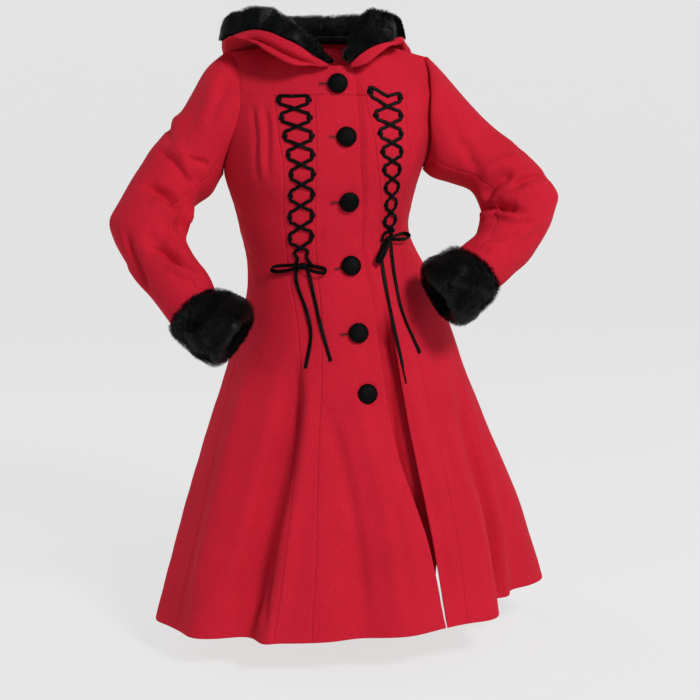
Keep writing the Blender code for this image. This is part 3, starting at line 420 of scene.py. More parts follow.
class HoodRow(NamedTuple):
    """A row of the hood's wool: angle on the neckline, and points outward to its edge, in mm."""

    name: str
    neck: float
    back: tuple[float, float, float]
    low: tuple[float, float, float]
    out: tuple[float, float, float]
    edge: tuple[float, float, float]


HOOD = (
    HoodRow("right throat", -4, (-7, -90, -38.5), (-9, -95, -38.5), (-8, -98, -37), (-6, -99, -34.5)),
    HoodRow("right collar", -16, (-26, -95, -37.5), (-30, -104, -38.5), (-32, -108, -32),
            (-30, -107, -21)),
    HoodRow("right front", -38, (-60, -88, -29), (-73, -106, -29), (-74, -108, -16), (-67, -102, 2)),
    HoodRow("right shoulder", -64, (-100, -60, -8), (-128, -78, -1), (-134, -78, 10), (-127, -70, 23)),
    HoodRow("right point", -95, (-122, -4, 7), (-172, -20, 2), (-184, -16, 3), (-186, -8, 6)),
    HoodRow("right back", -135, (-100, 100, -20), (-135, 168, -110), (-168, 156, -60), (-160, 116, 10)),
    HoodRow("back", -180, (-12, 168, -78), (-18, 184, -245), (-20, 236, -150), (-22, 186, 28)),
    HoodRow("left back", -225, (84, 104, -24), (108, 168, -110), (134, 160, -60), (106, 128, 12)),
    HoodRow("left shoulder", -268, (100, 6, 6), (116, 0, 1), (122, 8, 5), (117, 22, 11)),
    HoodRow("left side", -295, (88, -50, -6), (98, -60, -5), (102, -60, 0), (99, -54, 5)),
    HoodRow("left front", -317, (65, -78, -22), (71, -94, -24), (74, -96, -14), (71, -90, -3)),
    HoodRow("left collar", -330, (44, -90, -31.5), (48, -101, -34.5), (49, -103, -28), (46, -100, -18)),
    HoodRow("left throat", -341, (28, -92, -39), (30, -97, -39), (30, -98, -37), (28, -97, -34)),
)


class FurRow(NamedTuple):
    """A row of the hood's fur in mm: over the wool's edge, its crest, down inside, the bag's floor."""

    turn: tuple[float, float, float]
    crest: tuple[float, float, float]
    inner: tuple[float, float, float]
    floor: tuple[float, float, float]


FUR = (
    FurRow((-5, -99, -32.5), (-1, -94, -23.5), (3, -88, -24), (2, -85, -29)),
    FurRow((-29, -107, -19), (-20, -98, -4), (-13, -86, -10), (-14, -81, -22)),
    FurRow((-65, -102, 5), (-55, -86, 29), (-43, -70, 14), (-44, -66, -6)),
    FurRow((-125, -70, 26), (-118, -44, 64), (-88, -30, 40), (-78, -30, 12)),
    FurRow((-190, -6, 10), (-180, 22, 50), (-132, 20, 42), (-108, 12, 22)),
    FurRow((-160, 114, 14), (-140, 118, 56), (-124, 114, 20), (-108, 108, 2)),
    FurRow((-22, 188, 33), (-22, 170, 58), (-20, 146, 34), (-16, 134, -4)),
    FurRow((106, 126, 16), (94, 116, 60), (86, 108, 24), (80, 100, 4)),
    FurRow((119, 22, 15), (114, 30, 40), (98, 22, 42), (90, 14, 22)),
    FurRow((99, -52, 9), (94, -30, 52), (80, -22, 36), (76, -26, 12)),
    FurRow((70, -90, 1), (61, -68, 57), (50, -56, 30), (51, -57, 4)),
    FurRow((45, -100, -14), (34, -86, 24), (28, -76, 6), (32, -75, -12)),
    FurRow((27, -97, -31.5), (20, -94, -14), (15, -87, -18), (18, -84, -26)),
)
HOOD_SPLIT = 6
HOOD_SEAM_LIFT = 0.0013
FUR_SEAM_LIFT = 0.0062
FUR_SEAM_INSET = 0.0030
FUR_TAPER = (0.4, 1.0, 1.0, 0.6, 0.2)


class Spot(NamedTuple):
    """A spot on the body: its level and its angle in degrees."""

    level: float
    angle: float


BUTTONS = (
    Spot(9.25, 3),
    Spot(7.9, 9),
    Spot(6.3, 13),
    Spot(4.8, 8.5),
    Spot(3.7, 0.5),
    Spot(2.8, 0),
)
BUTTON_RADIUS = 0.0165
BUTTON_HEIGHT = 0.0085
BUTTON_SHANK = 0.0022
BUTTON_SEAT = 0.0004


class Lacing(NamedTuple):
    """A laced gore: its seams, the ribbon's turns and the bow's knot."""

    side: str
    lace_out: str
    lace_in: str
    first: float
    step: float
    turns: int
    near: float
    far: float
    knot: float
    share: float


LACINGS = (
    Lacing("right", "r_lace_out", "r_lace_in", 8.86, 0.466, 8, 0.1, 0.9, 4.98, 0.56),
    Lacing("left", "l_lace_in", "l_lace_out", 8.92, 0.468, 8, 0.1, 0.9, 5.15, 0.3),
)


class BowLoop(NamedTuple):
    """A bow loop: place of its tip and how far its middle stands off."""

    name: str
    angle: float
    level: float
    lift: float


BOW_LOOPS = {
    "right": (BowLoop("a", -45.0, 5.00, 0.0075), BowLoop("b", -8.0, 4.78, 0.0078)),
    "left": (BowLoop("a", 62.0, 5.10, 0.0085), BowLoop("b", 25.0, 4.74, 0.0110)),
}
LOOP_OUTLINE = ((0.0, 0.30), (0.30, 0.75), (0.60, 1.0), (0.88, 0.85), (1.0, 0.0),
                (0.88, -0.85), (0.60, -1.0), (0.30, -0.75), (0.0, -0.30))
LOOP_ROOT = 0.0062
KNOT_RADIUS = 0.0055
KNOT_HEIGHT = 0.0040
KNOT_SEAT = 0.0050
KNOT_REACH = 0.0062
RIBBON_THICK = 0.0012
RIBBON_SEAT = 0.0009
WAIST_LIFT = 0.0012
BOW_TAILS = {
    "right_a": (Spot(4.9, -27.5), Spot(4.6, -28.5), Spot(4.1, -25.5), Spot(3.7, -24.5),
                Spot(3.2, -27.5)),
    "right_b": (Spot(4.88, -19.5), Spot(4.5, -19.5), Spot(3.9, -18.8), Spot(3.3, -15)),
    "left_a": (Spot(5.02, 35), Spot(4.7, 29.5), Spot(4.2, 23), Spot(3.7, 20.5), Spot(2.9, 19.5)),
    "left_b": (Spot(5, 43), Spot(4.4, 33), Spot(3.9, 28.5), Spot(3.3, 32)),
}


# ---- the surfaces ----
@dataclass(frozen=True)
class BodyForm:
    """The coat's body: one surface over an angle round the figure and a level up it."""

    sections: tuple[Section, ...] = SECTIONS
    seams: tuple[Seams, ...] = SEAMS
    folds: tuple[Fold, ...] = FOLDS
    fullness: tuple[Fullness, ...] = FULLNESS

    def seam(self, name: str, level: Array | float) -> Array:
        """Angle of a seam, by its column's name, at a level, in degrees."""
        return spline([[getattr(row, name)] for row in self.seams], level)[..., 0]

    def armhole(self, side: Side, front: bool, level: Array | float) -> Array:
        """Angle of the armhole's front or back edge at a level.

        Args:
            side: which sleeve's.
            front: the front edge, or else the back one.
            level: level up the body.

        Returns:
            The angle in degrees.
        """
        column = "front_" + side.label if front else "back"
        bite = np.interp(level, *([getattr(row, name) for row in ARMHOLE]
                                  for name in ("level", column)))
        return side.value * (90.0 - bite if front else 90.0 + bite)

    def ring(self, angle: Array, level: Array) -> Array:
        """A point of the plain section at a level, up to the yoke.

        Args:
            angle, level: places on the body.

        Returns:
            The points.
        """
        values = spline(np.array([row[1:] for row in self.sections]) / SECTION_UNITS,
                        np.minimum(level, YOKE))
        height, tilt, half_width, front, back, x, y, turn = np.moveaxis(values, -1, 0)
        a, t = np.radians(angle), np.radians(turn)
        across = half_width * np.sin(a)
        depth = -np.where(np.cos(a) > 0, front, back) * np.cos(a)
        return np.stack([x + across * np.cos(t) - depth * np.sin(t),
                         y + across * np.sin(t) + depth * np.cos(t),
                         height + tilt * np.sin(a)], axis=-1)

    def top(self, angle: Array) -> Array:
        """A point of the neckline or the shoulder seam.

        Args:
            angle: degrees round the figure.

        Returns:
            The points.
        """
        size, side = np.abs(angle), np.sign(angle)
        behind = size > 90.0
        turn = np.where(behind, 180.0 - size, size)
        q = np.radians(90.0 * np.clip(turn / NECK_ANGLE, 0.0, 1.0))
        neck = np.stack([side * NECK_HALF * np.sin(q),
                         np.where(behind, NECK_BACK, -NECK_FRONT) * np.cos(q),
                         np.where(behind, 0.010, -NECK_DROP) * np.cos(q)], axis=-1)
        tip = np.where((side < 0)[..., None], SHOULDER_TIP_RIGHT, SHOULDER_TIP_LEFT)
        along = np.clip((turn - NECK_ANGLE) / (90.0 - NECK_ANGLE), 0.0, 1.0)
        line = np.stack([side * NECK_HALF + (tip[..., 0] - side * NECK_HALF) * along,
                         0.0 * along, tip[..., 1] * along], axis=-1)
        return np.where((turn < NECK_ANGLE)[..., None], neck, line)

    def fold_rise(self, angle: Array, level: Array) -> Array:
        """Height of the skirt's folds above its plain sections.

        Args:
            angle, level: places on the body.

        Returns:
            The heights in metres.
        """
        total = np.zeros(np.shape(angle))
        for fold in self.folds:
            down = np.clip((fold.start - level) / fold.start, 0.0, 1.0)
            centre = fold.angle + (fold.hem_angle - fold.angle) * down
            width = fold.width * (0.55 + 0.45 * down)
            away = (angle - centre + 180.0) % 360.0 - 180.0
            total = total + fold.rise * down ** 1.3 * np.exp(-(away / width) ** 2)
        return total

    def recess_rise(self, angle: Array, level: Array) -> Array:
        """Depth of the hollow in the left front, beside the lapping edge.

        Args:
            angle, level: places on the body.

        Returns:
            The heights in metres, less than 0.
        """
        down = np.clip((RECESS.start - level) / (RECESS.start - RECESS_DEEPEST), 0.0, 1.0)
        along = np.clip((RECESS.start - level) / RECESS.start, 0.0, 1.0)
        centre = RECESS.angle + (RECESS.hem_angle - RECESS.angle) * smooth(along * 1.4)
        shape = np.exp(-((angle - centre) / RECESS.width) ** 2)
        window = smooth((self.seam("l_lace_in", level) - angle - RECESS_MARGIN) / RECESS_WINDOW)
        return RECESS.rise * smooth(down) * shape * window

    def point(self, angle: Array | float, level: Array | float, under: bool = False) -> Array:
        """A point of the coat's outer surface.

        Args:
            angle: degrees round the figure, 0 at the front.
            level: 0 at the hem, 10 at the neck and shoulder seam.
            under: the left front, which lies below the lap.

        Returns:
            The point in metres.
        """
        angle, level = np.broadcast_arrays(np.asarray(angle, float), np.asarray(level, float))
        rise = self.fold_rise(angle, level)
        for full in self.fullness:
            rise = rise + full.rise * np.exp(-((angle - full.angle) / full.width) ** 2
                                             - ((level - full.level) / full.height) ** 2)
        if under:
            sunk = smooth((self.seam("edge", level) + LAP_BLEND - angle) / LAP_BLEND)
            lap = LAP + (LAP_AT_HEM - LAP) * smooth((3.0 - level) / 3.0)
            rise = rise + self.recess_rise(angle, level) - lap * sunk
        along = self.ring(angle + 0.5, level) - self.ring(angle - 0.5, level)
        outward = unit(np.stack([along[..., 1], -along[..., 0], 0.0 * along[..., 2]], axis=-1))
        point = self.ring(angle, level) + rise[..., None] * outward
        share = np.clip(level - YOKE, 0.0, 1.0)[..., None]
        bulge = SHOULDER_BULGE * 4.0 * share * (1.0 - share) * np.array([0.0, 0.0, 1.0])
        if under:
            bulge = bulge + share * (LAP * sunk)[..., None] * np.array([0.0, 1.0, -0.4])
        return point * (1.0 - share) + self.top(angle) * share + bulge

    def normal(self, angle: Array | float, level: Array | float, under: bool = False) -> Array:
        """Direction straight out of the cloth; front and back share it at the shoulder.

        Args:
            angle, level: places on the body.
            under: the left front.

        Returns:
            The directions.
        """
        angle, level = np.broadcast_arrays(np.asarray(angle, float), np.asarray(level, float))
        round_it = self.point(angle + 0.4, level, under) - self.point(angle - 0.4, level, under)
        high = np.minimum(level + 0.03, TOP)
        up_it = self.point(angle, high, under) - self.point(angle, high - 0.06, under)
        normal = unit(np.cross(round_it, up_it))
        size = np.abs(angle)
        on_seam = smooth((np.minimum(size, 180.0 - size) - NECK_ANGLE + 12.0) / 12.0)
        lean = np.stack([0.3 * np.sign(angle), 0.0 * angle, 0.0 * angle + 1.0], axis=-1)
        share = (smooth((level - 9.3) / 0.7) * on_seam)[..., None]
        return unit(normal * (1.0 - share) + unit(lean) * share)

    def on_cloth(self, angle: Array | float, level: Array | float,
                 lift: float) -> tuple[Array, Array]:
        """A point above the cloth, as the ribbons lie, and the direction out of it.

        Args:
            angle, level: the place.
            lift: metres above the cloth.

        Returns:
            The point and the direction.
        """
        normal = self.normal(angle, level)
        bridge = WAIST_LIFT * np.exp(-((np.asarray(level) - 4.9) / 1.0) ** 2)[..., None]
        return self.point(angle, level) + (lift + bridge) * normal, normal


HEAD_EASE_TURN = 48.0     # how far round the arm the ease reaches, in degrees
# how far the low side of a sleeve's head is eased into a straight line under the arm
HEAD_EASE = {Side.RIGHT: 0.3, Side.LEFT: 1.15}


@dataclass(frozen=True)
class SleeveForm:
    """A sleeve: a surface over a turn round the arm and a place along it."""

    body: BodyForm
    side: Side
    sections: tuple[ArmSection, ...]
    cuff_end: tuple[float, float, float, float]

    def centre(self, section: ArmSection) -> Array:
        """A section's centre on this side of the wearer."""
        return np.array([self.side.value * section.x, section.y, section.z]) / 1000.0

    def ring(self, centre: Array, half: tuple[Array | float, Array | float], lean: float,
             tangent: Array, turn: Array) -> Array:
        """Points round a section.

        Args:
            centre: its centre.
            half: half width and half depth.
            lean: lean of its outer side from the vertical, in degrees.
            tangent: direction down the arm.
            turn: degrees round, 0 on the outer side and 90 at the front.

        Returns:
            The points.
        """
        sign, a = self.side.value, math.radians(lean)
        outward = np.array([sign * math.sin(a), 0.0, math.cos(a)])
        forward = unit(np.cross(outward, tangent))
        forward = -forward if forward[1] > 0.0 else forward
        t = np.radians(turn)[..., None]
        return centre + half[0] * np.cos(t) * outward + half[1] * np.sin(t) * forward

    def armhole_ring(self, turn: Array) -> Array:
        """The sleeve's sewn edge, close on the body, lapping its armhole.

        Args:
            turn: degrees round the arm.

        Returns:
            The points.
        """
        t = np.radians(turn)
        level = ((UNDERARM + TOP) / 2 + (TOP - UNDERARM) / 2 * np.cos(t)
                 - ARMHOLE_DROP * (1.0 - np.cos(t)) / 2)
        ahead, sign = np.sin(t) >= 0.0, self.side.value
        angle = np.where(ahead, *(self.body.armhole(self.side, front, level)
                                  for front in (True, False)))
        low = np.exp(-((np.abs((turn + 180.0) % 360.0 - 180.0) - WRAP_TURN) / WRAP_HALF) ** 2)
        lap = (ARMHOLE_LAP * np.clip((1.0 + np.cos(t)) * 4.0, 0.0, 1.0)
               * (1.0 + ARMHOLE_WRAP * low))
        angle = angle + np.where(ahead, -sign, sign) * lap
        return self.body.point(angle, level) + SLEEVE_SEAT * self.body.normal(angle, level)

    def point(self, turn: Array | float, along: Array | float) -> Array:
        """A point of the sleeve.

        Args:
            turn: degrees round, 0 on the outer side and 90 at the front.
            along: 0 at the armhole and one more at each section.

        Returns:
            The point in metres.
        """
        turn, along = np.broadcast_arrays(np.asarray(turn, float), np.asarray(along, float))
        centres = np.array([self.centre(s) for s in self.sections])
        tangents = unit(np.gradient(centres, axis=0))
        rings = [self.armhole_ring(turn)]
        rings += [self.ring(c, (s.half_width / 1000.0, s.half_depth / 1000.0), s.lean, t, turn)
                  for s, c, t in zip(self.sections, centres, tangents)]
        low = np.exp(-((np.abs((turn + 180.0) % 360.0 - 180.0) - 180.0) / HEAD_EASE_TURN) ** 2)
        ease = HEAD_EASE[self.side] * low[..., None]
        rings[1] = rings[1] + ease * (0.5 * (rings[0] + rings[2]) - rings[1])
        stack = np.array(rings)
        last = len(stack) - 1
        i = np.minimum(np.floor(along).astype(int), last - 1)
        f = (along - i)[..., None]
        where = tuple(np.indices(turn.shape))
        p1, p2 = stack[(i,) + where], stack[(i + 1,) + where]
        p0 = np.where((i > 0)[..., None], stack[(np.maximum(i - 1, 0),) + where], 2 * p1 - p2)
        p3 = np.where((i < last - 1)[..., None],
                      stack[(np.minimum(i + 2, last),) + where], 2 * p2 - p1)
        return blend(p0, p1, p2, p3, f)

    def normal(self, turn: Array | float, along: Array | float) -> Array:
        """Direction straight out of the sleeve.

        Args:
            turn, along: places on the sleeve.

        Returns:
            The directions.
        """
        turn, along = np.broadcast_arrays(np.asarray(turn, float), np.asarray(along, float))
        high = np.minimum(along + 0.03, float(len(self.sections)))
        low = np.maximum(high - 0.06, 0.0)
        high = np.maximum(high, low + 0.06)
        down = self.point(turn, high) - self.point(turn, low)
        across = self.point(turn + 1.0, along) - self.point(turn - 1.0, along)
        return self.side.value * unit(np.cross(across, down))


@dataclass(frozen=True)
class HoodForm:
    """The hood thrown back: a wool layer and a fur layer over it, from throat to throat."""

    rows: tuple[HoodRow, ...] = HOOD
    fur: tuple[FurRow, ...] = FUR

    def neck_point(self, angle: float) -> Array:
        """A point of the neckline at an angle round the neck, 0 at the front.

        Args:
            angle: degrees round the neck.

        Returns:
            The point.
        """
        a = math.radians(angle)
        ahead = math.cos(a)
        depth, rise = (-NECK_FRONT, -NECK_DROP) if ahead > 0.0 else (-NECK_BACK, -0.010)
        return np.array([NECK_HALF * math.sin(a), depth * ahead, rise * ahead])

    def tables(self) -> tuple[Array, Array]:
        """The wool's and the fur's lines of points, row by row.

        Returns:
            Each layer's points, by row and column.
        """
        wool, fur = [], []
        for row, lined in zip(self.rows, self.fur):
            seam_at = self.neck_point(row.neck)
            inset = unit(seam_at * np.array([1.0, 1.0, 0.0]))
            inside = seam_at - FUR_SEAM_INSET * inset + [0.0, 0.0, FUR_SEAM_LIFT]
            wool.append([seam_at + [0.0, 0.0, HOOD_SEAM_LIFT]] + [0.001 * np.array(p) for p in row[2:]])
            fur.append([0.001 * np.array(p) for p in lined] + [inside])
        return np.array(wool, float), np.array(fur, float)

    def grid(self, table: Array, steps: int, across: int) -> Array:
        """Points of a layer, throat to throat.

        Args:
            table: the layer's lines.
            steps: rows of each half.
            across: columns from the first line to the last.

        Returns:
            A grid of 2 * steps + 1 rows.
        """
        rows, count = table.shape[:2]
        stations = np.concatenate([np.linspace(0.0, HOOD_SPLIT, steps + 1),
                                   np.linspace(HOOD_SPLIT, rows - 1.0, steps + 1)[1:]])
        lines = spline(table.reshape(rows, -1), stations).reshape(len(stations), count, 3)
        shares = np.linspace(0.0, count - 1.0, across + 1)
        return np.array([spline(line, shares) for line in lines])


# ---- finishes ----
def linear(code: str) -> tuple[float, float, float, float]:
    """An sRGB hex colour as linear numbers.

    Args:
        code: the colour, such as "#C02030".

    Returns:
        Linear red, green and blue, and 1.
    """
    parts = [int(code[k:k + 2], 16) / 255.0 for k in (1, 3, 5)]
    red, green, blue = (p / 12.92 if p <= 0.04045 else ((p + 0.055) / 1.055) ** 2.4
                        for p in parts)
    return red, green, blue, 1.0


def add_node(tree: bpy.types.NodeTree, kind: str, settings: dict | None = None,
             links: dict | None = None) -> bpy.types.Node:
    """A node with its settings and links.

    Args:
        tree: the material's nodes.
        kind: the node's type.
        settings: its options by name, and its inputs' values by name or number.
        links: for each input, the node that feeds it and that node's output.

    Returns:
        The node.
    """
    node = tree.nodes.new(kind)
    for key, value in (settings or {}).items():
        if isinstance(key, str) and hasattr(node, key):
            setattr(node, key, value)
        else:
            node.inputs[key].default_value = value
    for key, (source, output) in (links or {}).items():
        tree.links.new(source.outputs[output], node.inputs[key])
    return node


def per_metre(millimetres: float) -> float:
    """Noise scale for a pattern of that size."""
    return 1000.0 / millimetres


@dataclass(frozen=True)
class ClothFinish:
    """A matte textile: two colours in soft flecks, a fibrous surface and a sheen."""

    name: str
    light: str
    dark: str
    fleck_mm: float
    fibre_mm: float
    relief_mm: float
    roughness: float
    sheen: float
    sheen_tint: str
    sheen_rough: float = 0.5
    specular: float = 0.5
    patch_mm: float = 90.0
    slot: str = ""

    def material(self) -> Material:
        """The finish as a node material.

        Returns:
            The material.
        """
        made = bpy.data.materials.new(self.name)
        made.use_nodes = True
        tree = made.node_tree
        shader = tree.nodes["Principled BSDF"]
        place = add_node(tree, "ShaderNodeTexCoord")
        fleck = add_node(tree, "ShaderNodeTexNoise",
                         {"Scale": per_metre(self.fleck_mm), "Detail": 3.0, "Roughness": 0.65},
                         {"Vector": (place, "Object")})
        patch = add_node(tree, "ShaderNodeTexNoise",
                         {"Scale": per_metre(self.patch_mm), "Detail": 2.0},
                         {"Vector": (place, "Object")})
        both = add_node(tree, "ShaderNodeMath", {"operation": "MULTIPLY_ADD", 1: 0.35},
                        {0: (patch, "Fac"), 2: (fleck, "Fac")})
        ramp = add_node(tree, "ShaderNodeValToRGB", None, {"Fac": (both, 0)})
        ramp.color_ramp.elements[0].position = 0.42
        ramp.color_ramp.elements[0].color = linear(self.dark)
        ramp.color_ramp.elements[1].position = 0.92
        ramp.color_ramp.elements[1].color = linear(self.light)
        fibre = add_node(tree, "ShaderNodeTexNoise",
                         {"Scale": per_metre(self.fibre_mm), "Detail": 4.0, "Roughness": 0.7,
                          "Distortion": 0.6},
                         {"Vector": (place, "Object")})
        bump = add_node(tree, "ShaderNodeBump",
                        {"Strength": 1.0, "Distance": self.relief_mm / 1000.0},
                        {"Height": (fibre, "Fac")})
        tree.links.new(ramp.outputs["Color"], shader.inputs["Base Color"])
        tree.links.new(bump.outputs["Normal"], shader.inputs["Normal"])
        for socket, value in (("Roughness", self.roughness), ("Specular IOR Level", self.specular),
                              ("Sheen Weight", self.sheen), ("Sheen Roughness", self.sheen_rough),
                              ("Sheen Tint", linear(self.sheen_tint))):
            shader.inputs[socket].default_value = value
        return made


# Wool melton, woven, fulled until the weave closes, and brushed: the eye sees a deep matte red
# with short felted fibres, soft at the edges. The fibres (0.02 mm) are drawn as 1.6 mm tufts.
# The loose fibres break up the surface's own reflection, so little of it is left.
WOOL_MELTON = ClothFinish("fulled red wool melton", "#CE2036", "#B0182A", 2.6, 1.6, 0.35,
                          0.92, 0.05, "#F0707C", specular=0.10, slot="red wool")
# Knitted ground cloth of the fur, dyed black; it only shows as depth between the tufts.
FUR_GROUND = ClothFinish("black knitted fur ground", "#080808", "#030303", 3.0, 1.5, 0.30,
                         0.95, 0.0, "#808080", specular=0.05, slot="black fur")
# Sheared acrylic plush in black: glossy fibres that lie in tufts and catch grey-green streaks.
# A fibre of 0.04 mm is drawn as a lock of 0.4 mm, which is the narrowest that shows.
FUR_LOCKS = ClothFinish("black sheared plush", "#16191A", "#030303", 14.0, 0.9, 0.05,
                        0.42, 0.04, "#9AA8A2", specular=0.22, patch_mm=60.0, slot="black fur")
# Silk-faced velvet ribbon, woven with a cut pile: near black face on, grey-green at a slant.
VELVET = ClothFinish("black cut velvet", "#060707", "#020202", 1.2, 0.8, 0.06,
                     0.55, 0.06, "#9DB0A8", 0.20, specular=0.08, slot="black velvet")
# The same velvet drawn tight over the buttons' moulds, where it catches a broad soft light.
VELVET_TIGHT = ClothFinish("velvet over a button mould", "#080808", "#020202", 1.4, 0.9, 0.10,
                           0.60, 0.07, "#B4B8BA", 0.25, specular=0.06, slot="black velvet")
# Mercerised polyester twist, red: smooth thread with a slight gloss, laid in purl stitches.
THREAD = ClothFinish("red buttonhole twist", "#A81828", "#6E0D18", 1.0, 0.6, 0.05,
                     0.50, 0.15, "#FFB0A8", specular=0.35, slot="red wool")
# Painted shade in each buttonhole's cut: a near-black red strip where the felted wool is pressed
# together, dark where no light gets in.
SLIT_PAINTED_SHADE = ClothFinish("cut wool edge", "#4A0A12", "#2A060A", 1.0, 0.6, 0.05,
                       0.95, 0.0, "#F0707C", specular=0.05, slot="red wool")


# ---- meshes ----
class Shape(NamedTuple):
    """Points with four-sided and three-sided faces."""

    verts: Array
    quads: Array
    tris: Array

    def moved(self, seat: Array, axes: Array) -> "Shape":
        """The shape with its origin at a seat, turned by axes."""
        return self._replace(verts=seat + self.verts @ axes.T)

    @staticmethod
    def join(shapes: Sequence["Shape"]) -> "Shape":
        """Several shapes as one.

        Args:
            shapes: the shapes.

        Returns:
            The joined shape.
        """
        verts, quads, tris, start = [], [], [], 0
        for shape in shapes:
            verts.append(shape.verts)
            quads.append(shape.quads + start)
            tris.append(shape.tris + start)
            start += len(shape.verts)
        return Shape(np.concatenate(verts), np.concatenate(quads), np.concatenate(tris))


def add_object(name: str, data: bpy.types.ID) -> Object:
    """An object in the scene."""
    obj = bpy.data.objects.new(name, data)
    bpy.context.scene.collection.objects.link(obj)
    return obj


def volume(verts: Array, quads: Array) -> float:
    """Six times the signed volume within closed four-sided faces.

    Args:
        verts, quads: the points and faces.

    Returns:
        The volume, less than 0 when the faces look in.
    """
    a, b, c, d = (verts[quads[:, k]] for k in range(4))
    return float(np.einsum("ij,ij->i", np.cross(a, b), c).sum()
                 + np.einsum("ij,ij->i", np.cross(a, c), d).sum())


def grid_faces(index: Array) -> Array:
    """Four-sided faces between a grid's points, by the points' numbers."""
    return np.stack([index[:-1, :-1], index[:-1, 1:], index[1:, 1:], index[1:, :-1]],
                    axis=-1).reshape(-1, 4)


def closed(grid: Array) -> Array:
    """A grid whose first column comes again after its last."""
    return np.concatenate([grid, grid[:, :1]], axis=1)


def shell(outer: Array, inner: Array, round_it: bool = False) -> Shape:
    """A closed wall between two grids of points.

    Args:
        outer: grid of the outer side.
        inner: grid of the inner side, alike in size.
        round_it: whether the last column meets the first.

    Returns:
        The wall, facing out.
    """
    rows, cols = outer.shape[:2]
    count = rows * cols
    verts = np.concatenate([outer.reshape(-1, 3), inner.reshape(-1, 3)])
    index = np.arange(count).reshape(rows, cols)
    if round_it:
        index = closed(index)
    face = grid_faces(index)
    quads = [face, face[:, ::-1] + count]
    rims = [index[0], index[-1][::-1]]
    if not round_it:
        rims += [index[:, -1], index[::-1, 0]]
    for rim in rims:
        quads.append(np.stack([rim[1:], rim[:-1], rim[:-1] + count, rim[1:] + count], axis=-1))
    quads = np.concatenate(quads)
    if volume(verts, quads) < 0.0:
        quads = quads[:, ::-1]
    return Shape(verts, quads, np.zeros((0, 3), int))


def tube(rings: Array) -> Shape:
    """A closed tube over rings of points, its ends drawn in to a point.

    Args:
        rings: rows of rings.

    Returns:
        The tube, facing out.
    """
    rings = np.asarray(rings)
    rows, cols = rings.shape[:2]
    first, last = rings[0].mean(axis=0), rings[-1].mean(axis=0)
    verts = np.concatenate([rings.reshape(-1, 3), [first, last]])
    index = closed(np.arange(rows * cols).reshape(rows, cols))
    quads = grid_faces(index)
    head = np.full(cols, rows * cols)
    tris = np.concatenate([np.stack([head, index[0, 1:], index[0, :-1]], axis=-1),
                           np.stack([head + 1, index[-1, :-1], index[-1, 1:]], axis=-1)])
    if volume(verts, quads) < 0.0:
        quads, tris = quads[:, ::-1], tris[:, ::-1]
    return Shape(verts, quads, tris)


def sweep(route: Array, facing: Array, profile: Array, ends: float = 1.0) -> Shape:
    """A tube of one cross section along a route.

    Args:
        route: points along it.
        facing: direction out of the cloth at each point.
        profile: cross section's points, across and up, in metres.
        ends: size of the cross section at the two ends.

    Returns:
        The tube.
    """
    along = unit(np.gradient(route, axis=0))
    across = unit(np.cross(along, facing))
    up = unit(np.cross(across, along))
    size = np.ones(len(route))
    size[[0, -1]] = ends
    rings = (route[:, None] + size[:, None, None] * (profile[None, :, :1] * across[:, None]
                                                     + profile[None, :, 1:] * up[:, None]))
    return tube(rings)


def ellipse(half_wide: float, half_high: float, sides: int) -> Array:
    """A round cross section."""
    t = np.arange(sides) * 2.0 * math.pi / sides
    return np.stack([half_wide * np.cos(t), half_high * np.sin(t)], axis=-1)


def ribbon_profile(width: float, thick: float) -> Array:
    """Cross section of velvet ribbon: a soft crown of pile between two woven edges.

    Args:
        width, thick: the sizes in metres.

    Returns:
        Its points, across and up.
    """
    outline = ((-0.5, 0.0), (-0.5, 0.45), (-0.45, 0.85), (-0.30, 1.05), (0.0, 1.12),
               (0.30, 1.05), (0.45, 0.85), (0.5, 0.45), (0.5, 0.0), (0.0, -0.05))
    return np.array(outline) * [width, thick]


def add_mesh(name: str, shape: Shape) -> bpy.types.Mesh:
    """A smooth mesh of a shape.

    Args:
        name: the mesh's name.
        shape: its points and faces.

    Returns:
        The mesh.
    """
    mesh = bpy.data.meshes.new(name)
    mesh.from_pydata(shape.verts.tolist(), [], shape.quads.tolist() + shape.tris.tolist())
    mesh.validate()
    mesh.shade_smooth()
    return mesh


def make_piece(name: str, shape: Shape, finish: ClothFinish) -> Object:
    """An object of a shape, which rides on the coat.

    Args:
        name: the piece's name.
        shape: its points and faces.
        finish: its finish.

    Returns:
        The object.
    """
    mesh = add_mesh(name, shape)
    mesh.materials.append(bpy.data.materials.get(finish.name) or finish.material())
    obj = add_object(name, mesh)
    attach(obj, "root")
    LOG.info("%s: %d triangles", name, 2 * len(shape.quads) + len(shape.tris))
    return obj


def dress(node: str, suffix: str, shape: Shape, finish: ClothFinish) -> Object:
    """A piece that takes the place of a solid.

    Args:
        node: the solid.
        suffix: what the piece is made of, which is added to its name.
        shape: its points and faces.
        finish: its finish.

    Returns:
        The piece.
    """
    obj = make_piece(f"{node}_{suffix}", shape, finish)
    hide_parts(node)
    return obj


# ---- pieces of cloth ----
ROW_STEP = 0.0062        # between rows of a cloth's points
COLUMN_STEP = 0.0052
EDGE_STEPS = (0.0, 0.0005, 0.0012, 0.0026)  # rows and columns close to an edge
SWELL = 0.0007           # slow unevenness of the cloth
SWELL_SIZE = 0.075
PUCKER = 0.00022         # close unevenness beside the seams
PUCKER_SIZE = 0.016


def spread(widths: Array | float, count: int) -> Array:
    """Distances across widths, close together at both edges.

    Args:
        widths: one width, or one for each row.
        count: steps between the close ones.

    Returns:
        The distances, along the last axis.
    """
    widths = np.asarray(widths, float)[..., None]
    near = np.minimum(np.array(EDGE_STEPS), 0.24 * widths)
    share = np.linspace(0.0, 1.0, count + 1)
    middle = near[..., -1:] + (widths - 2.0 * near[..., -1:]) * share
    return np.concatenate([near[..., :-1] + 0.0 * widths, middle,
                           (widths - near[..., :-1])[..., ::-1]], axis=-1)


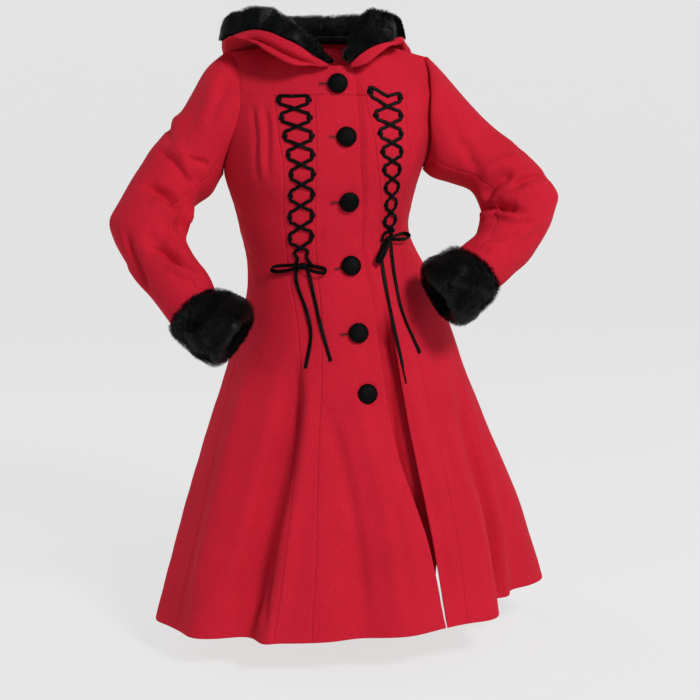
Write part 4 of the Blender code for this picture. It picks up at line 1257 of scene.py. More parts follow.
class Edge(Enum):
    """How a cloth's edge is made: its depth and the reach of its turn."""

    SEAM = (0.0010, 0.0010)
    FREE = (0.0006, 0.0009)
    LAPPED = (0.0010, 0.0022)

    def turn(self, distance: Array) -> Array:
        """How far the cloth lies lower at a distance from the edge."""
        depth, reach = self.value
        return depth * np.exp(-(distance / reach) ** 2)


def crease_heights(points: Array, made: Sequence[Crease], place: Surface) -> Array:
    """Height of all the creases over a patch of cloth.

    Args:
        points: places on the cloth.
        made: the creases.
        place: turns a path's two numbers into points.

    Returns:
        The height at each place.
    """
    total = np.zeros(points.shape[:-1])
    for crease in made:
        steps = len(crease.path) - 1
        stations = np.linspace(0.0, steps, 9 * steps + 1)
        path = spline(crease.path, stations)
        total = total + crease_rise(points, place(path[:, 0], path[:, 1]), crease.width,
                                    crease.rise)
    return total


def seam_pucker(points: Array, nearest: Array, seed: int) -> Array:
    """Small unevenness of the cloth, strongest within 30 mm of a seam."""
    return PUCKER * ripple(points, PUCKER_SIZE, seed) * (0.35 + np.exp(-(nearest / 0.015) ** 2))


class Cut(NamedTuple):
    """A piece's flat size before it was sewn: width, length and area."""

    width: float
    length: float
    area: float


class Patch(NamedTuple):
    """A patch of a surface in rows and columns of points.

    It holds the surface's two numbers at each point, the rows' distances from the first one, and
    the points' distances from both sides.
    """

    turn: Array
    level: Array
    down: Array
    near: Array
    far: Array


def patch(surface: Surface, start: Line, stop: Line, ends: tuple[float, float],
          samples: tuple[int, int]) -> Patch:
    """A patch of a surface between two lines.

    Args:
        surface: turns the surface's two numbers into points.
        start, stop: the first number of each side, for values of the second.
        ends: the second number at the first and the last row.
        samples: how finely the patch is measured, along and across.

    Returns:
        The patch.
    """
    fine = np.linspace(*ends, samples[0])
    run = run_along(surface((start(fine) + stop(fine)) / 2, fine))
    down = spread(run[-1], round(run[-1] / ROW_STEP))
    levels = np.interp(down, run, fine)
    first, last = start(levels)[:, None], stop(levels)[:, None]
    turns = first + (last - first) * np.linspace(0.0, 1.0, samples[1])
    run = run_along(surface(turns, levels[:, None] + 0.0 * turns), 1)
    near = spread(run[:, -1], max(6, round(run[:, -1].max() / COLUMN_STEP)))
    turn = np.array([np.interp(a, r, t) for a, r, t in zip(near, run, turns)])
    return Patch(turn, levels[:, None] + 0.0 * turn, down, near, run[:, -1:] - near)


BODY_CREASES = creases((
    # gathers under the right end of the yoke seam
    (6, -3.8, -43.5, 8.85, -39.5, 7.84, -38.5, 6.68),
    (5.5, 3, -39.5, 8.85, -35.8, 7.84, -34.7, 6.8),
    (5.5, -3.5, -35, 8.85, -31.8, 7.84, -31, 6.76),
    (5, 2.2, -30.5, 8.8, -28.6, 8.1, -27.2, 7.4),
    (8, -2.2, 48, 8.6, 50, 7.8, 52, 6.8),
    # drag lines at the waist
    (6, -3, -86, 5.55, -74, 5.3, -60, 5.35),
    (7, -2.8, -86, 4.95, -70, 4.72, -56, 4.8),
    (7, -1.9, -84, 6.35, -72, 6.1, -62, 6.15),
    (6, -2.8, 86, 4.9, 72, 4.85, 60, 5.05),
    (6, -2.2, 86, 5.7, 76, 5.5, 64, 5.55),
    (10, -1.7, -10, 5.3, -5, 6, 2, 6.6),
    # the right front's deep fold, with the pleats that it makes at the hem
    (23, -17.5, -34, 3.5, -34.5, 2.6, -38, 1.9, -42, 1.3, -45, 0.6, -48, -0.5),
    (7.5, -8, -33, 3.6, -31.8, 2.75, -33.6, 2.02, -36.6, 1.48, -39.5, 0.88, -41, -0.4),
    (13, 8.5, -28, 3.6, -27, 2.75, -28.6, 2.02, -31, 1.48, -33.5, 0.88, -34.5, -0.4),
    (4.8, 4.9, -43, 1.4, -47, 0.7, -50, -0.4),
    (4.2, -5.5, -41, 1.2, -43.5, 0.6, -45, -0.4),
    (4.6, 4.6, -39.5, 1.1, -41, 0.5, -42, -0.4),
    (4.2, -4.3, -38, 1, -38.8, 0.5, -39.4, -0.4),
    (20, 6.2, -60, 3.6, -64, 2.4, -66, 1.2, -68, -0.4),
    # soft valleys beside the lap
    (14, -7.2, -19, 2.8, -13, 1.8, -10.5, 0.84, -9, -0.4),
    (16, 4.5, -6, 3.4, -3, 2.2, -1, 1, 1, -0.4),
    (10, -4, 2.5, 1.6, 3, 0.8, 3.5, -0.4),
    # the left front's folds
    (10, -4.6, 29, 3.4, 30, 2.2, 31, 1, 31, -0.4),
    (11, 4.5, 22, 3.6, 20.5, 2.2, 20, 1, 20, -0.4),
    (12, -7.2, 54, 3, 47, 2.1, 44, 1, 42, -0.4),
    (13, 7, 60, 3, 55, 1.9, 51, 0.9, 49, -0.4),
    # the back
    (9, -2.8, -165, 5.8, -168, 5, -166, 4.2),
    (9, -2.5, 160, 5.7, 164, 4.9, 162, 4.2),
    (9, -3, -118, 7.6, -124, 6.8, -128, 6),
    (9, -2.8, 118, 7.6, 125, 6.8, 129, 6.1),
    (6.5, -2.5, -130, 5.2, -115, 5, -98, 5.05),
    (6.5, -2.4, 128, 5.3, 112, 5, 97, 5.1),
    (11, -2.4, -150, 8.6, -140, 8, -128, 7.6),
    (11, -2.2, 150, 8.5, 141, 8, 130, 7.7),
    (16, -7.5, -100, 3.3, -104, 2, -108, -0.4),
    (15, 7, 98, 3.1, 100, 1.8, 102, -0.4),
    (15, -7, 120, 3.3, 124, 1.8, 126, -0.4),
    (16, -7, 168, 3.2, 170, 1.8, 172, -0.4),
    (15, 6.5, -150, 3, -148, 1.6, -146, -0.4),
))
# the left front's hollow, where its cloth turns in behind the lapping edge
RECESS_CREASES = creases((
    (18, -44, 15.8, 4, 17, 3.2, 16.4, 2.65, 14.9, 1.93, 12.8, 1.4, 12.8, 1.03, 13.8, 0.3),
    (11, 5, 26, 3.6, 25.6, 2.7, 23.4, 1.9, 21, 1.2, 20.5, 0.4),
))


@dataclass(frozen=True)
class Panel:
    """A panel of the body between two seams."""

    body: BodyForm
    name: str
    start: Line
    stop: Line
    cut: Cut
    low: float = 0.0
    high: float = TOP
    under: bool = False
    edges: tuple[Edge, Edge, Edge, Edge] = (Edge.SEAM, Edge.SEAM, Edge.FREE, Edge.SEAM)

    def surface(self, angle: Array, level: Array) -> Array:
        """Points of the body, or of its under front."""
        return self.body.point(angle, level, self.under)

    def shape(self) -> Shape:
        """The cloth's wall, with its turned edges, its creases and its swell.

        Returns:
            The wall.
        """
        grid = patch(self.surface, self.start, self.stop, (self.low, self.high), (400, 25))
        point = self.surface(grid.turn, grid.level)
        normal = self.body.normal(grid.turn, grid.level, self.under)
        up = run_along(point[:, point.shape[1] // 2])[:, None] + 0.0 * grid.turn
        turn = sum(edge.turn(distance) for edge, distance in
                   zip(self.edges, (grid.near, grid.far, up, up[-1] - up)))
        rise = crease_heights(point, BODY_CREASES + (RECESS_CREASES if self.under else ()),
                              self.surface)
        rise = rise + SWELL * ripple(point, SWELL_SIZE, 11)
        rise = rise + seam_pucker(point, np.minimum(grid.near, grid.far), 12)
        outer = point + (rise - turn)[..., None] * normal
        inner = point + (rise - CLOTH)[..., None] * normal
        return shell(outer, inner)

    def build(self) -> None:
        """The panel in brushed wool."""
        dress(self.name, "wool", self.shape(), WOOL_MELTON)


@dataclass(frozen=True)
class Body:
    """All twelve panels of the body."""

    form: BodyForm

    def seam_line(self, name: str) -> Line:
        """A seam as a function of the level."""
        return lambda level: self.form.seam(name, level)

    def arm_line(self, side: Side, front: bool) -> Line:
        """The side seam below the armpit, and the armhole's edge above it.

        Args:
            side: which arm.
            front: the front edge, or else the back one.

        Returns:
            The angle as a function of the level.
        """
        name = "r_side" if side is Side.RIGHT else "l_side"
        return lambda level: np.where(level > UNDERARM, self.form.armhole(side, front, level),
                                      self.form.seam(name, level))

    def panels(self) -> list[Panel]:
        """The panels, hem to shoulder.

        Returns:
            The panels.
        """
        line, arm, form = self.seam_line, self.arm_line, self.form
        seam, free = Edge.SEAM, Edge.FREE
        return [
            Panel(form, "front_centre_right", line("r_lace_in"), line("edge"),
                  Cut(0.20, 0.90, 0.111), high=YOKE, edges=(seam, free, free, seam)),
            Panel(form, "lace_gore_right", line("r_lace_out"), line("r_lace_in"),
                  Cut(0.08, 0.90, 0.046), high=YOKE),
            Panel(form, "front_side_right", arm(Side.RIGHT, True), line("r_lace_out"),
                  Cut(0.27, 0.90, 0.139), high=YOKE),
            Panel(form, "front_yoke_right", arm(Side.RIGHT, True), line("edge"),
                  Cut(0.22, 0.12, 0.0147), low=YOKE, edges=(seam, free, seam, seam)),
            Panel(form, "front_centre_left", line("under"), line("l_lace_in"),
                  Cut(0.17, 0.90, 0.102), high=YOKE - 0.01, under=True, edges=(free, seam, free, seam)),
            Panel(form, "lace_gore_left", line("l_lace_in"), line("l_lace_out"),
                  Cut(0.08, 0.90, 0.045), high=YOKE),
            Panel(form, "front_side_left", line("l_lace_out"), arm(Side.LEFT, True),
                  Cut(0.19, 0.90, 0.095), high=YOKE),
            Panel(form, "front_yoke_left", line("under"), arm(Side.LEFT, True),
                  Cut(0.18, 0.12, 0.0129), low=YOKE, under=True, edges=(free, seam, seam, seam)),
            Panel(form, "back_side_right", line("r_back"), arm(Side.RIGHT, False),
                  Cut(0.33, 0.97, 0.174)),
            Panel(form, "back_side_left", arm(Side.LEFT, False), line("l_back"),
                  Cut(0.40, 0.97, 0.216)),
            Panel(form, "back_centre_right", lambda level: 0.0 * level - 180.0, line("r_back"),
                  Cut(0.22, 0.98, 0.151)),
            Panel(form, "back_centre_left", line("l_back"), lambda level: 0.0 * level + 180.0,
                  Cut(0.22, 0.98, 0.151)),
        ]

    def build(self) -> None:
        """All the panels."""
        for piece in self.panels():
            piece.build()


# ---- sleeves ----
RIGHT_SLEEVE_CREASES = creases((
    # drawn in at the sleeve's head
    (9, -4.2, 46, 0.3, 60, 0.6, 74, 1.05, 84, 1.6),
    (12, -3, 30, 1.1, 44, 1.9, 60, 2.6),
    # a nip on the outer side and the two arcs beside it
    (6, -6, -24, 2.6, 14, 2.9, 50, 3.22),
    (9, 3.6, -30, 2.2, 6, 2.4, 34, 2.7),
    (6, -10.5, 28, 3.56, 48, 3.54, 67, 3.53, 87, 3.58, 107, 3.67, 120, 3.74),
    (8, 4.2, 48, 3.16, 74, 3.12, 92, 3.22),
    (5.2, -7, 76, 3.12, 92, 2.95, 104, 2.6, 118, 2.02),
    # the trough above the elbow that falls into its bend, with its pocket and the rolls beside it
    (8.5, -21, 50, 4.38, 67, 4.45, 90, 4.48, 114, 4.55, 135, 4.78, 151, 5.15, 168, 5.58, 188, 6),
    (7, 5.5, 84, 4.9, 106, 4.96, 125, 5.22, 140, 5.56),
    (5.2, -11, 132, 5.52, 150, 5.8, 168, 6),
    (8.5, 8, 118, 3.35, 137, 3.85, 156, 4.33, 168, 4.9, 176, 5.35),
    # folds of the forearm
    (6.2, -14, 74, 6.55, 87, 6.7, 107, 6.95, 122, 7.3, 136, 7.68, 152, 8.05),
    (9, 7, 112, 6.45, 132, 6.86, 152, 7.26),
    (9, 5.5, 96, 7.35, 116, 7.8, 134, 8.2),
    (10.5, -7.5, 84, 6, 97, 6.42, 113, 6.95, 124, 7.7),
    (9, -10, 58, 5.9, 50, 6.4, 42, 6.98, 24, 7.8),
    (9, 3.6, 2, 6.6, 14, 7.15, 26, 7.75),
    (7, -4.5, 92, 7.6, 112, 8.1, 136, 8.5),
    # the outer side and the back
    (18, 3.6, -30, 4.9, 4, 5.15, 34, 5.35),
    (9, -7, -55, 4.2, -95, 4.6, -135, 4.95),
    (8, -7, -60, 5.7, -100, 5.45, -140, 5.5),
    (8, -5.8, -55, 6.8, -90, 7.1, -125, 7.2),
    (9, -4.5, -70, 2.6, -90, 3.1, -115, 3.5),
))
LEFT_SLEEVE_CREASES = creases((
    # soft troughs of the upper arm
    (11, -4.2, 56, 1.3, 78, 2.1, 100, 2.8),
    (9.5, -5, 72, 2.5, 95, 3.1, 120, 3.85),
    (6, -4, -4, 3.8, 16, 3.98, 36, 4.2),
    # the arc round the elbow, the broad hollow beside it and the rolls between
    (5.8, -17.5, -8, 4.76, 18, 4.82, 41, 4.85, 63, 4.85, 78, 4.9, 90, 5.03, 98, 5.16),
    (10, -14, 154, 4.88, 136, 4.7, 114, 4.58, 94, 4.56, 74, 4.66),
    (11, 6.5, 34, 4.4, 66, 4.22, 100, 4.12, 128, 4.26),
    (8.5, 6, 50, 5.24, 80, 5.36, 104, 5.44, 126, 5.36),
    # the bend's deep line with its pocket, and the rolls below it
    (5.6, -16.5, 190, 4.98, 158, 5.23, 140, 5.52, 123, 5.8, 108, 5.98, 90, 6.06, 66, 6.02),
    (8.5, -8, 132, 5.62, 118, 5.76, 106, 5.86, 90, 5.98),
    (7.2, 7, 176, 5.66, 142, 5.86, 112, 6.2, 84, 6.28),
    (8.5, -7, 150, 6.1, 130, 6.36, 104, 6.58, 77, 6.55, 50, 6.28),
    # the forearm
    (8, -5.8, 74, 6.8, 100, 7.15, 136, 7.65),
    (9.5, -5, 28, 6.35, 58, 7, 90, 7.85),
    (6.4, -4.6, 102, 8.1, 128, 8.45, 160, 8.5),
    # the outer corner of the elbow and the back
    (17, 6.2, -30, 5.2, 2, 5.35, 32, 5.45),
    (9, -7, -55, 4.4, -95, 4.7, -135, 5.1),
    (8, -7, -60, 5.9, -100, 5.6, -140, 5.6),
    (8, -5.8, -55, 6.9, -90, 7.2, -125, 7.4),
    (9, -4.5, -70, 2.5, -90, 3, -115, 3.5),
))
SLEEVE_SPLIT = 126.87    # turn of the seams between the top and the under sleeve


@dataclass(frozen=True)
class Sleeve:
    """A sleeve of two pieces, open at the armhole and the cuff."""

    form: SleeveForm
    creases: tuple[Crease, ...]
    top_cut: Cut
    under_cut: Cut

    def shape(self, low: float, high: float) -> Shape:
        """A piece of the sleeve between two turns.

        Args:
            low, high: the turns in degrees.

        Returns:
            The wall.
        """
        lines = [lambda along, turn=turn: 0.0 * along + turn for turn in (low, high)]
        grid = patch(self.form.point, *lines, (0.0, float(len(self.form.sections))), (300, 61))
        point = self.form.point(grid.turn, grid.level)
        normal = self.form.normal(grid.turn, grid.level)
        rise = crease_heights(point, self.creases, self.form.point)
        rise = rise * smooth(grid.down / 0.02)[:, None]
        rise = rise + SWELL * ripple(point, SWELL_SIZE, 21)
        rise = rise + seam_pucker(point, np.minimum(grid.near, grid.far), 22)
        turned = (Edge.SEAM.turn(grid.near) + Edge.SEAM.turn(grid.far)
                  + Edge.LAPPED.turn(grid.down)[:, None]
                  + Edge.SEAM.turn(grid.down[-1] - grid.down)[:, None])
        outer = point + (rise - turned)[..., None] * normal
        inner = point + (rise - np.maximum(CLOTH, turned + 0.0008))[..., None] * normal
        return shell(outer, inner)

    def build(self) -> None:
        """Both pieces of the sleeve."""
        label = self.form.side.label
        for name, low, high, cut in (
                ("sleeve_top_" + label, -SLEEVE_SPLIT, SLEEVE_SPLIT, self.top_cut),
                ("sleeve_under_" + label, SLEEVE_SPLIT, 360.0 - SLEEVE_SPLIT, self.under_cut)):
            dress(name, "wool", self.shape(low, high), WOOL_MELTON)


# ---- fur ----
@dataclass(frozen=True)
class Pile:
    """Locks of fur laid over a ground cloth.

    Each lock is a narrow bent blade. Neighbouring locks lean toward a common tip, which makes
    the tufts and the streaks between them.
    """

    length: float = 0.0105
    width: float = 0.00048
    lean: float = 58.0
    tuft: float = 0.0052
    gather: float = 0.34
    per_area: float = 780000.0
    most: int = 40000

    def roots(self, grid: Array, draw: np.random.Generator) -> tuple[Array, Array, Array]:
        """Random places over a grid, evenly spread over its area.

        Args:
            grid: points of the ground.
            draw: the random numbers.

        Returns:
            For each lock its face's row and column, and its place within the face.
        """
        a = np.cross(grid[1:, :-1] - grid[:-1, :-1], grid[:-1, 1:] - grid[:-1, :-1])
        area = np.linalg.norm(a, axis=-1)
        count = min(self.most, int(area.sum() * self.per_area))
        pick = draw.choice(area.size, size=count, p=(area / area.sum()).ravel())
        rows, cols = np.divmod(pick, area.shape[1])
        return rows, cols, draw.uniform(size=(count, 2))

    def shape(self, grid: Array, normal: Array, flow: Array, seed: int,
              scale: Array | None = None) -> Shape:
        """The locks over a ground.

        Args:
            grid: points of the ground.
            normal: directions out of it.
            flow: directions in which the pile lies.
            seed: seed of the random numbers.
            scale: length of the locks at each point, as a share of the pile's.

        Returns:
            All the locks.
        """
        draw = np.random.default_rng(seed)
        rows, cols, place = self.roots(grid, draw)
        u, v = place[:, :1], place[:, 1:]

        def at(field: Array) -> Array:
            """A field's value at each root."""
            low = field[rows, cols] * (1.0 - v) + field[rows, cols + 1] * v
            high = field[rows + 1, cols] * (1.0 - v) + field[rows + 1, cols + 1] * v
            return low * (1.0 - u) + high * u

        root, out = at(grid), unit(at(normal))
        lie = at(flow)
        lie = unit(lie - out * np.sum(lie * out, axis=-1, keepdims=True))
        beside = np.cross(out, lie)
        stray = 0.55 * ripple(root, 0.050, seed + 1) + draw.normal(0.0, 0.22, len(root))
        lie = lie * np.cos(stray)[:, None] + beside * np.sin(stray)[:, None]
        size = self.length * draw.uniform(0.7, 1.15, len(root))
        if scale is not None:
            size = size * at(scale[..., None])[:, 0]
        lean = np.radians(self.lean + draw.normal(0.0, 7.0, len(root))
                          + 9.0 * ripple(root, 0.022, seed + 2))
        bend = root + (0.5 * size)[:, None] * (np.cos(0.62 * lean)[:, None] * out
                                               + np.sin(0.62 * lean)[:, None] * lie)
        tip = bend + (0.5 * size)[:, None] * (np.cos(1.25 * lean)[:, None] * out
                                              + np.sin(1.25 * lean)[:, None] * lie)
        tip = tip + self.toward_tufts(root, tip, draw)
        across = unit(np.cross(tip - root, out))
        half = (0.5 * self.width * draw.uniform(0.7, 1.3, len(root)))[:, None]
        verts = np.stack([root - half * across, root + half * across,
                          bend + 0.9 * half * across, bend - 0.9 * half * across, tip], axis=1)
        start = np.arange(len(root))[:, None] * 5
        return Shape(verts.reshape(-1, 3), start + np.array([[0, 1, 2, 3]]),
                     start + np.array([[3, 2, 4]]))

    def toward_tufts(self, root: Array, tip: Array, draw: np.random.Generator) -> Array:
        """How far each tip is drawn toward its tuft's.

        Args:
            root: the locks' roots.
            tip: their tips.
            draw: the random numbers.

        Returns:
            The moves.
        """
        spacing = max(1, int(self.tuft ** 2 * self.per_area))
        chosen = draw.choice(len(root), size=max(8, len(root) // spacing), replace=False)
        tree = KDTree(len(chosen))
        for k, index in enumerate(chosen):
            tree.insert(root[index], k)
        tree.balance()
        nearest = np.array([tree.find(point)[1] for point in root])
        move = tip[chosen][nearest] - tip
        reach = np.linalg.norm(move, axis=1, keepdims=True)
        return move * self.gather * draw.uniform(0.5, 1.2, (len(root), 1)) * (
            np.minimum(1.0, 1.4 * self.tuft / np.maximum(reach, 1e-9)))


# ---- hood ----
HOOD_ROWS = 64           # rows of each half's wool
HOOD_COLUMNS = 44
HOOD_FUR_DEPTH = 0.0050  # of the ground below the fur's reach
FUR_GROUND_WALL = 0.0010
HOOD_CREASES = creases((
    # the right side's deep fold, between the turned-out lip and the roll at the neck
    (5.6, -14, 0.5, 2.35, 1.5, 2.7, 2.2, 2.88, 2.8, 2.95, 3.35, 2.9),
    (7.5, 4.5, 0.6, 1.9, 1.4, 2.1, 2.2, 2.3, 3, 2.3),
    (5.5, -5, 0.6, 1.1, 1.4, 1.3, 2.2, 1.5, 3, 1.6),
    # behind the neck
    (10, -4.5, 4.2, 1.2, 4.8, 1.4, 5.4, 1.3),
    (12, -4.8, 5.2, 2.2, 5.8, 2, 6.6, 2.1),
    (10, -4.2, 6.8, 1.5, 7.4, 1.7, 7.9, 1.5),
    (11, 3.5, 5.6, 1.4, 6.1, 1.1, 6.6, 1.3),
    # the left side
    (4.5, -4, 8.3, 1.6, 9, 1.8, 9.8, 2, 10.6, 2.1),
    (7, -2.6, 8.2, 2.6, 9, 2.9, 10, 3),
))


@dataclass(frozen=True)
class Hood:
    """The hood thrown back: its wool shell and its fur facing, in halves."""

    form: HoodForm
    shell_cuts: tuple[Cut, Cut] = (Cut(0.32, 0.46, 0.102), Cut(0.30, 0.42, 0.088))
    fur_cuts: tuple[Cut, Cut] = (Cut(0.19, 0.42, 0.056), Cut(0.16, 0.40, 0.045))
    tuck: float = 0.011
    pile: Pile = Pile()

    def half(self, side: Side, middle: int) -> slice:
        """The rows of one half, which share the middle one."""
        return slice(None, middle + 1) if side is Side.RIGHT else slice(middle, None)

    def layer(self, table: Array, steps: int, across: int) -> tuple[Array, Array]:
        """A layer's plain grid and its outward directions, level across the middle seam.

        Args:
            table: the layer's lines.
            steps, across: rows of each half, and columns.

        Returns:
            The points and the directions.
        """
        grid = self.form.grid(table, steps, across)
        normal = -grid_normal(grid)
        normal[grid.shape[0] // 2, :, 0] = 0.0
        return grid, unit(normal)

    def wool_layer(self) -> tuple[Array, Array]:
        """The wool's outward directions and its shaped outer side.

        Returns:
            The directions and the points.
        """
        table, _ = self.form.tables()
        grid, normal = self.layer(table, HOOD_ROWS, HOOD_COLUMNS)
        rise = crease_heights(grid, HOOD_CREASES, lambda row, share: grid_point(table, row, share))
        across, along = run_along(grid, 1), run_along(grid, 0)
        edge = np.minimum(across, across[:, -1:] - across)
        rise = rise * smooth(edge / 0.006) + SWELL * ripple(grid, 0.06, 31)
        centre = np.abs(along - along[grid.shape[0] // 2])
        turned = Edge.SEAM.turn(centre) + Edge.SEAM.turn(across)
        return normal, grid + (rise - turned)[..., None] * normal

    def build(self) -> None:
        """Both halves of both layers, and the fur's pile."""
        normal, outer = self.wool_layer()
        inner, middle = outer - CLOTH * normal, outer.shape[0] // 2
        for side, cut in zip(Side, self.shell_cuts):
            own = self.half(side, middle)
            obj = dress("hood_shell_" + side.label, "wool", shell(outer[own], inner[own]),
                        WOOL_MELTON)
        self.build_fur()

    def build_fur(self) -> None:
        """The facing's ground cloth and its pile."""
        wool, table = self.form.tables()
        grid, normal = self.layer(table, 40, 26)
        middle = grid.shape[0] // 2
        lines = np.linspace(0.0, 4.0, grid.shape[1])
        taper = np.interp(lines, np.arange(5.0), FUR_TAPER)[None, :, None]
        lumps = 0.0012 * ripple(grid, 0.040, 41)[..., None]
        base = grid - (HOOD_FUR_DEPTH * taper - lumps * taper) * normal
        flow = np.gradient(grid, axis=1) * -1.0 + 0.5 * np.gradient(grid, axis=0)
        length = np.broadcast_to(0.55 + 0.45 * taper[..., 0], grid.shape[:2])
        sewn = self.form.grid(wool, 40, 4)[:, -1:] - 0.5 * CLOTH * normal[:, :1]
        tucked = base[:, -1:] - np.array([0.0, 0.0, self.tuck])
        backing = np.concatenate([sewn, base, tucked], axis=1)
        out = np.concatenate([normal[:, :1], normal, normal[:, -1:]], axis=1)
        for number, (side, cut) in enumerate(zip(Side, self.fur_cuts)):
            own = self.half(side, middle)
            shape = shell(backing[own], backing[own] - FUR_GROUND_WALL * out[own])
            obj = dress("hood_fur_" + side.label, "ground", shape, FUR_GROUND)
            hair = self.pile.shape(base[own], normal[own], flow[own], 50 + number, length[own])
            make_piece("hood_pile_" + side.label, hair, FUR_LOCKS)


# ---- cuffs ----
CUFF_COLUMNS = 72
# the cuffs' soft rolls and the valleys between them, by turn and share of the cuff's length
CUFF_FOLDS = {
    Side.RIGHT: creases((
        (6, 4.8, 174, 0.36, 141, 0.58, 114, 0.64, 84, 0.65, 56, 0.54),
        (7, -5, 150, 0.34, 121, 0.47, 99, 0.49, 78, 0.47, 54, 0.39),
        (5.5, -2, 40, 0.37, 42, 0.56, 39, 0.75),
        (5.5, -2.2, 200, 0.45, 230, 0.6, 262, 0.58),
    )),
    Side.LEFT: creases((
        (6, 4.4, 123, 0.64, 96, 0.61, 78, 0.54, 63, 0.46, 40, 0.41),
        (7, -4.6, 120, 0.79, 87, 0.74, 66, 0.65, 43, 0.55),
        (5.5, -2.2, 205, 0.52, 236, 0.64, 270, 0.56),
    )),
}


@dataclass(frozen=True)
class Cuff:
    """A deep fur cuff, turned under round its mouth."""

    sleeve: SleeveForm
    cut: Cut
    seed: int
    depth: float = 0.0055
    pile: Pile = Pile(length=0.0110, lean=56.0)

    def rings(self, profile: Array) -> Array:
        """Rings of points at shares of the cuff's length and radii.

        Args:
            profile: rows of share and radius.

        Returns:
            One ring for each row.
        """
        form, (before, last) = self.sleeve, self.sleeve.sections[-2:]
        start = form.centre(last)
        stop = np.array([form.side.value * self.sleeve.cuff_end[0], *self.sleeve.cuff_end[1:3]])
        came, axis = unit(start - form.centre(before)), unit(stop - start)
        start = start + axis * CUFF_GAP
        turns = np.arange(CUFF_COLUMNS) * 360.0 / CUFF_COLUMNS
        rings = []
        for share, radius in profile:
            centre = start + (stop - start) * share
            lean = last.lean + (self.sleeve.cuff_end[3] - last.lean) * share
            tangent = unit(came * (1.0 - share) + axis * share)
            rings.append(form.ring(centre, (radius, radius), lean, tangent, turns))
        return np.array(rings)

    def build(self) -> None:
        """The cuff's ground cloth, folded in at the mouth, and its pile."""
        label = self.sleeve.side.label
        outside = np.array([(share, radius) for share, radius in CUFF_PROFILE])
        fine = spline(outside, np.linspace(0.0, len(outside) - 1.0, 34))
        drop = self.depth * smooth((fine[:, 1] - CUFF_INNER) / 0.010)
        fine[:, 1] = fine[:, 1] - drop
        fine[:, 0] = fine[:, 0] * 0.955 + 0.004
        inside = np.array([(0.97, CUFF_INNER + 0.0016), (0.85, CUFF_INNER + 0.0008),
                           (0.5, CUFF_INNER), (0.05, CUFF_INNER)])
        rings = self.rings(np.concatenate([fine, inside]))
        around = closed(rings)
        normal = grid_normal(around)
        normal[:, 0] = normal[:, -1] = unit(normal[:, 0] + normal[:, -1])
        middle = rings.mean(axis=1, keepdims=True)
        if np.sum(normal[10] * (around[10] - middle[10])) < 0.0:
            normal = -normal
        table = np.moveaxis(around[:len(fine)], 0, 1)
        rise = crease_heights(around, CUFF_FOLDS[self.sleeve.side], lambda turn, share: grid_point(
            table, np.mod(turn, 360.0) * (CUFF_COLUMNS / 360.0), share * (len(fine) - 1.0)))
        rise[len(fine):] = 0.0
        rise = rise * smooth(np.arange(len(rise)) / 3.0)[:, None]
        around = around + (rise + 0.0012 * ripple(around, 0.045, self.seed))[..., None] * normal
        shape = shell(around[:, :-1], (around - FUR_GROUND_WALL * normal)[:, :-1], round_it=True)
        obj = dress("cuff_fur_" + label, "ground", shape, FUR_GROUND)
        hairy = slice(0, len(fine) + 1)
        flow = np.gradient(around, axis=0)
        hair = self.pile.shape(around[hairy], normal[hairy], flow[hairy], self.seed)
        make_piece("cuff_pile_" + label, hair, FUR_LOCKS)


# ---- buttons ----
def frame_at(seat: Array, normal: Array, along: Array) -> Array:
    """Axes of a small piece lying on the cloth: along, across and out, as columns.

    Args:
        seat, normal: the place, which is not used, and the direction out of the cloth.
        along: the first axis, about.

    Returns:
        The axes.
    """
    out = unit(normal)
    first = unit(along - out * float(along @ out))
    return np.stack([first, np.cross(out, first), out], axis=-1)


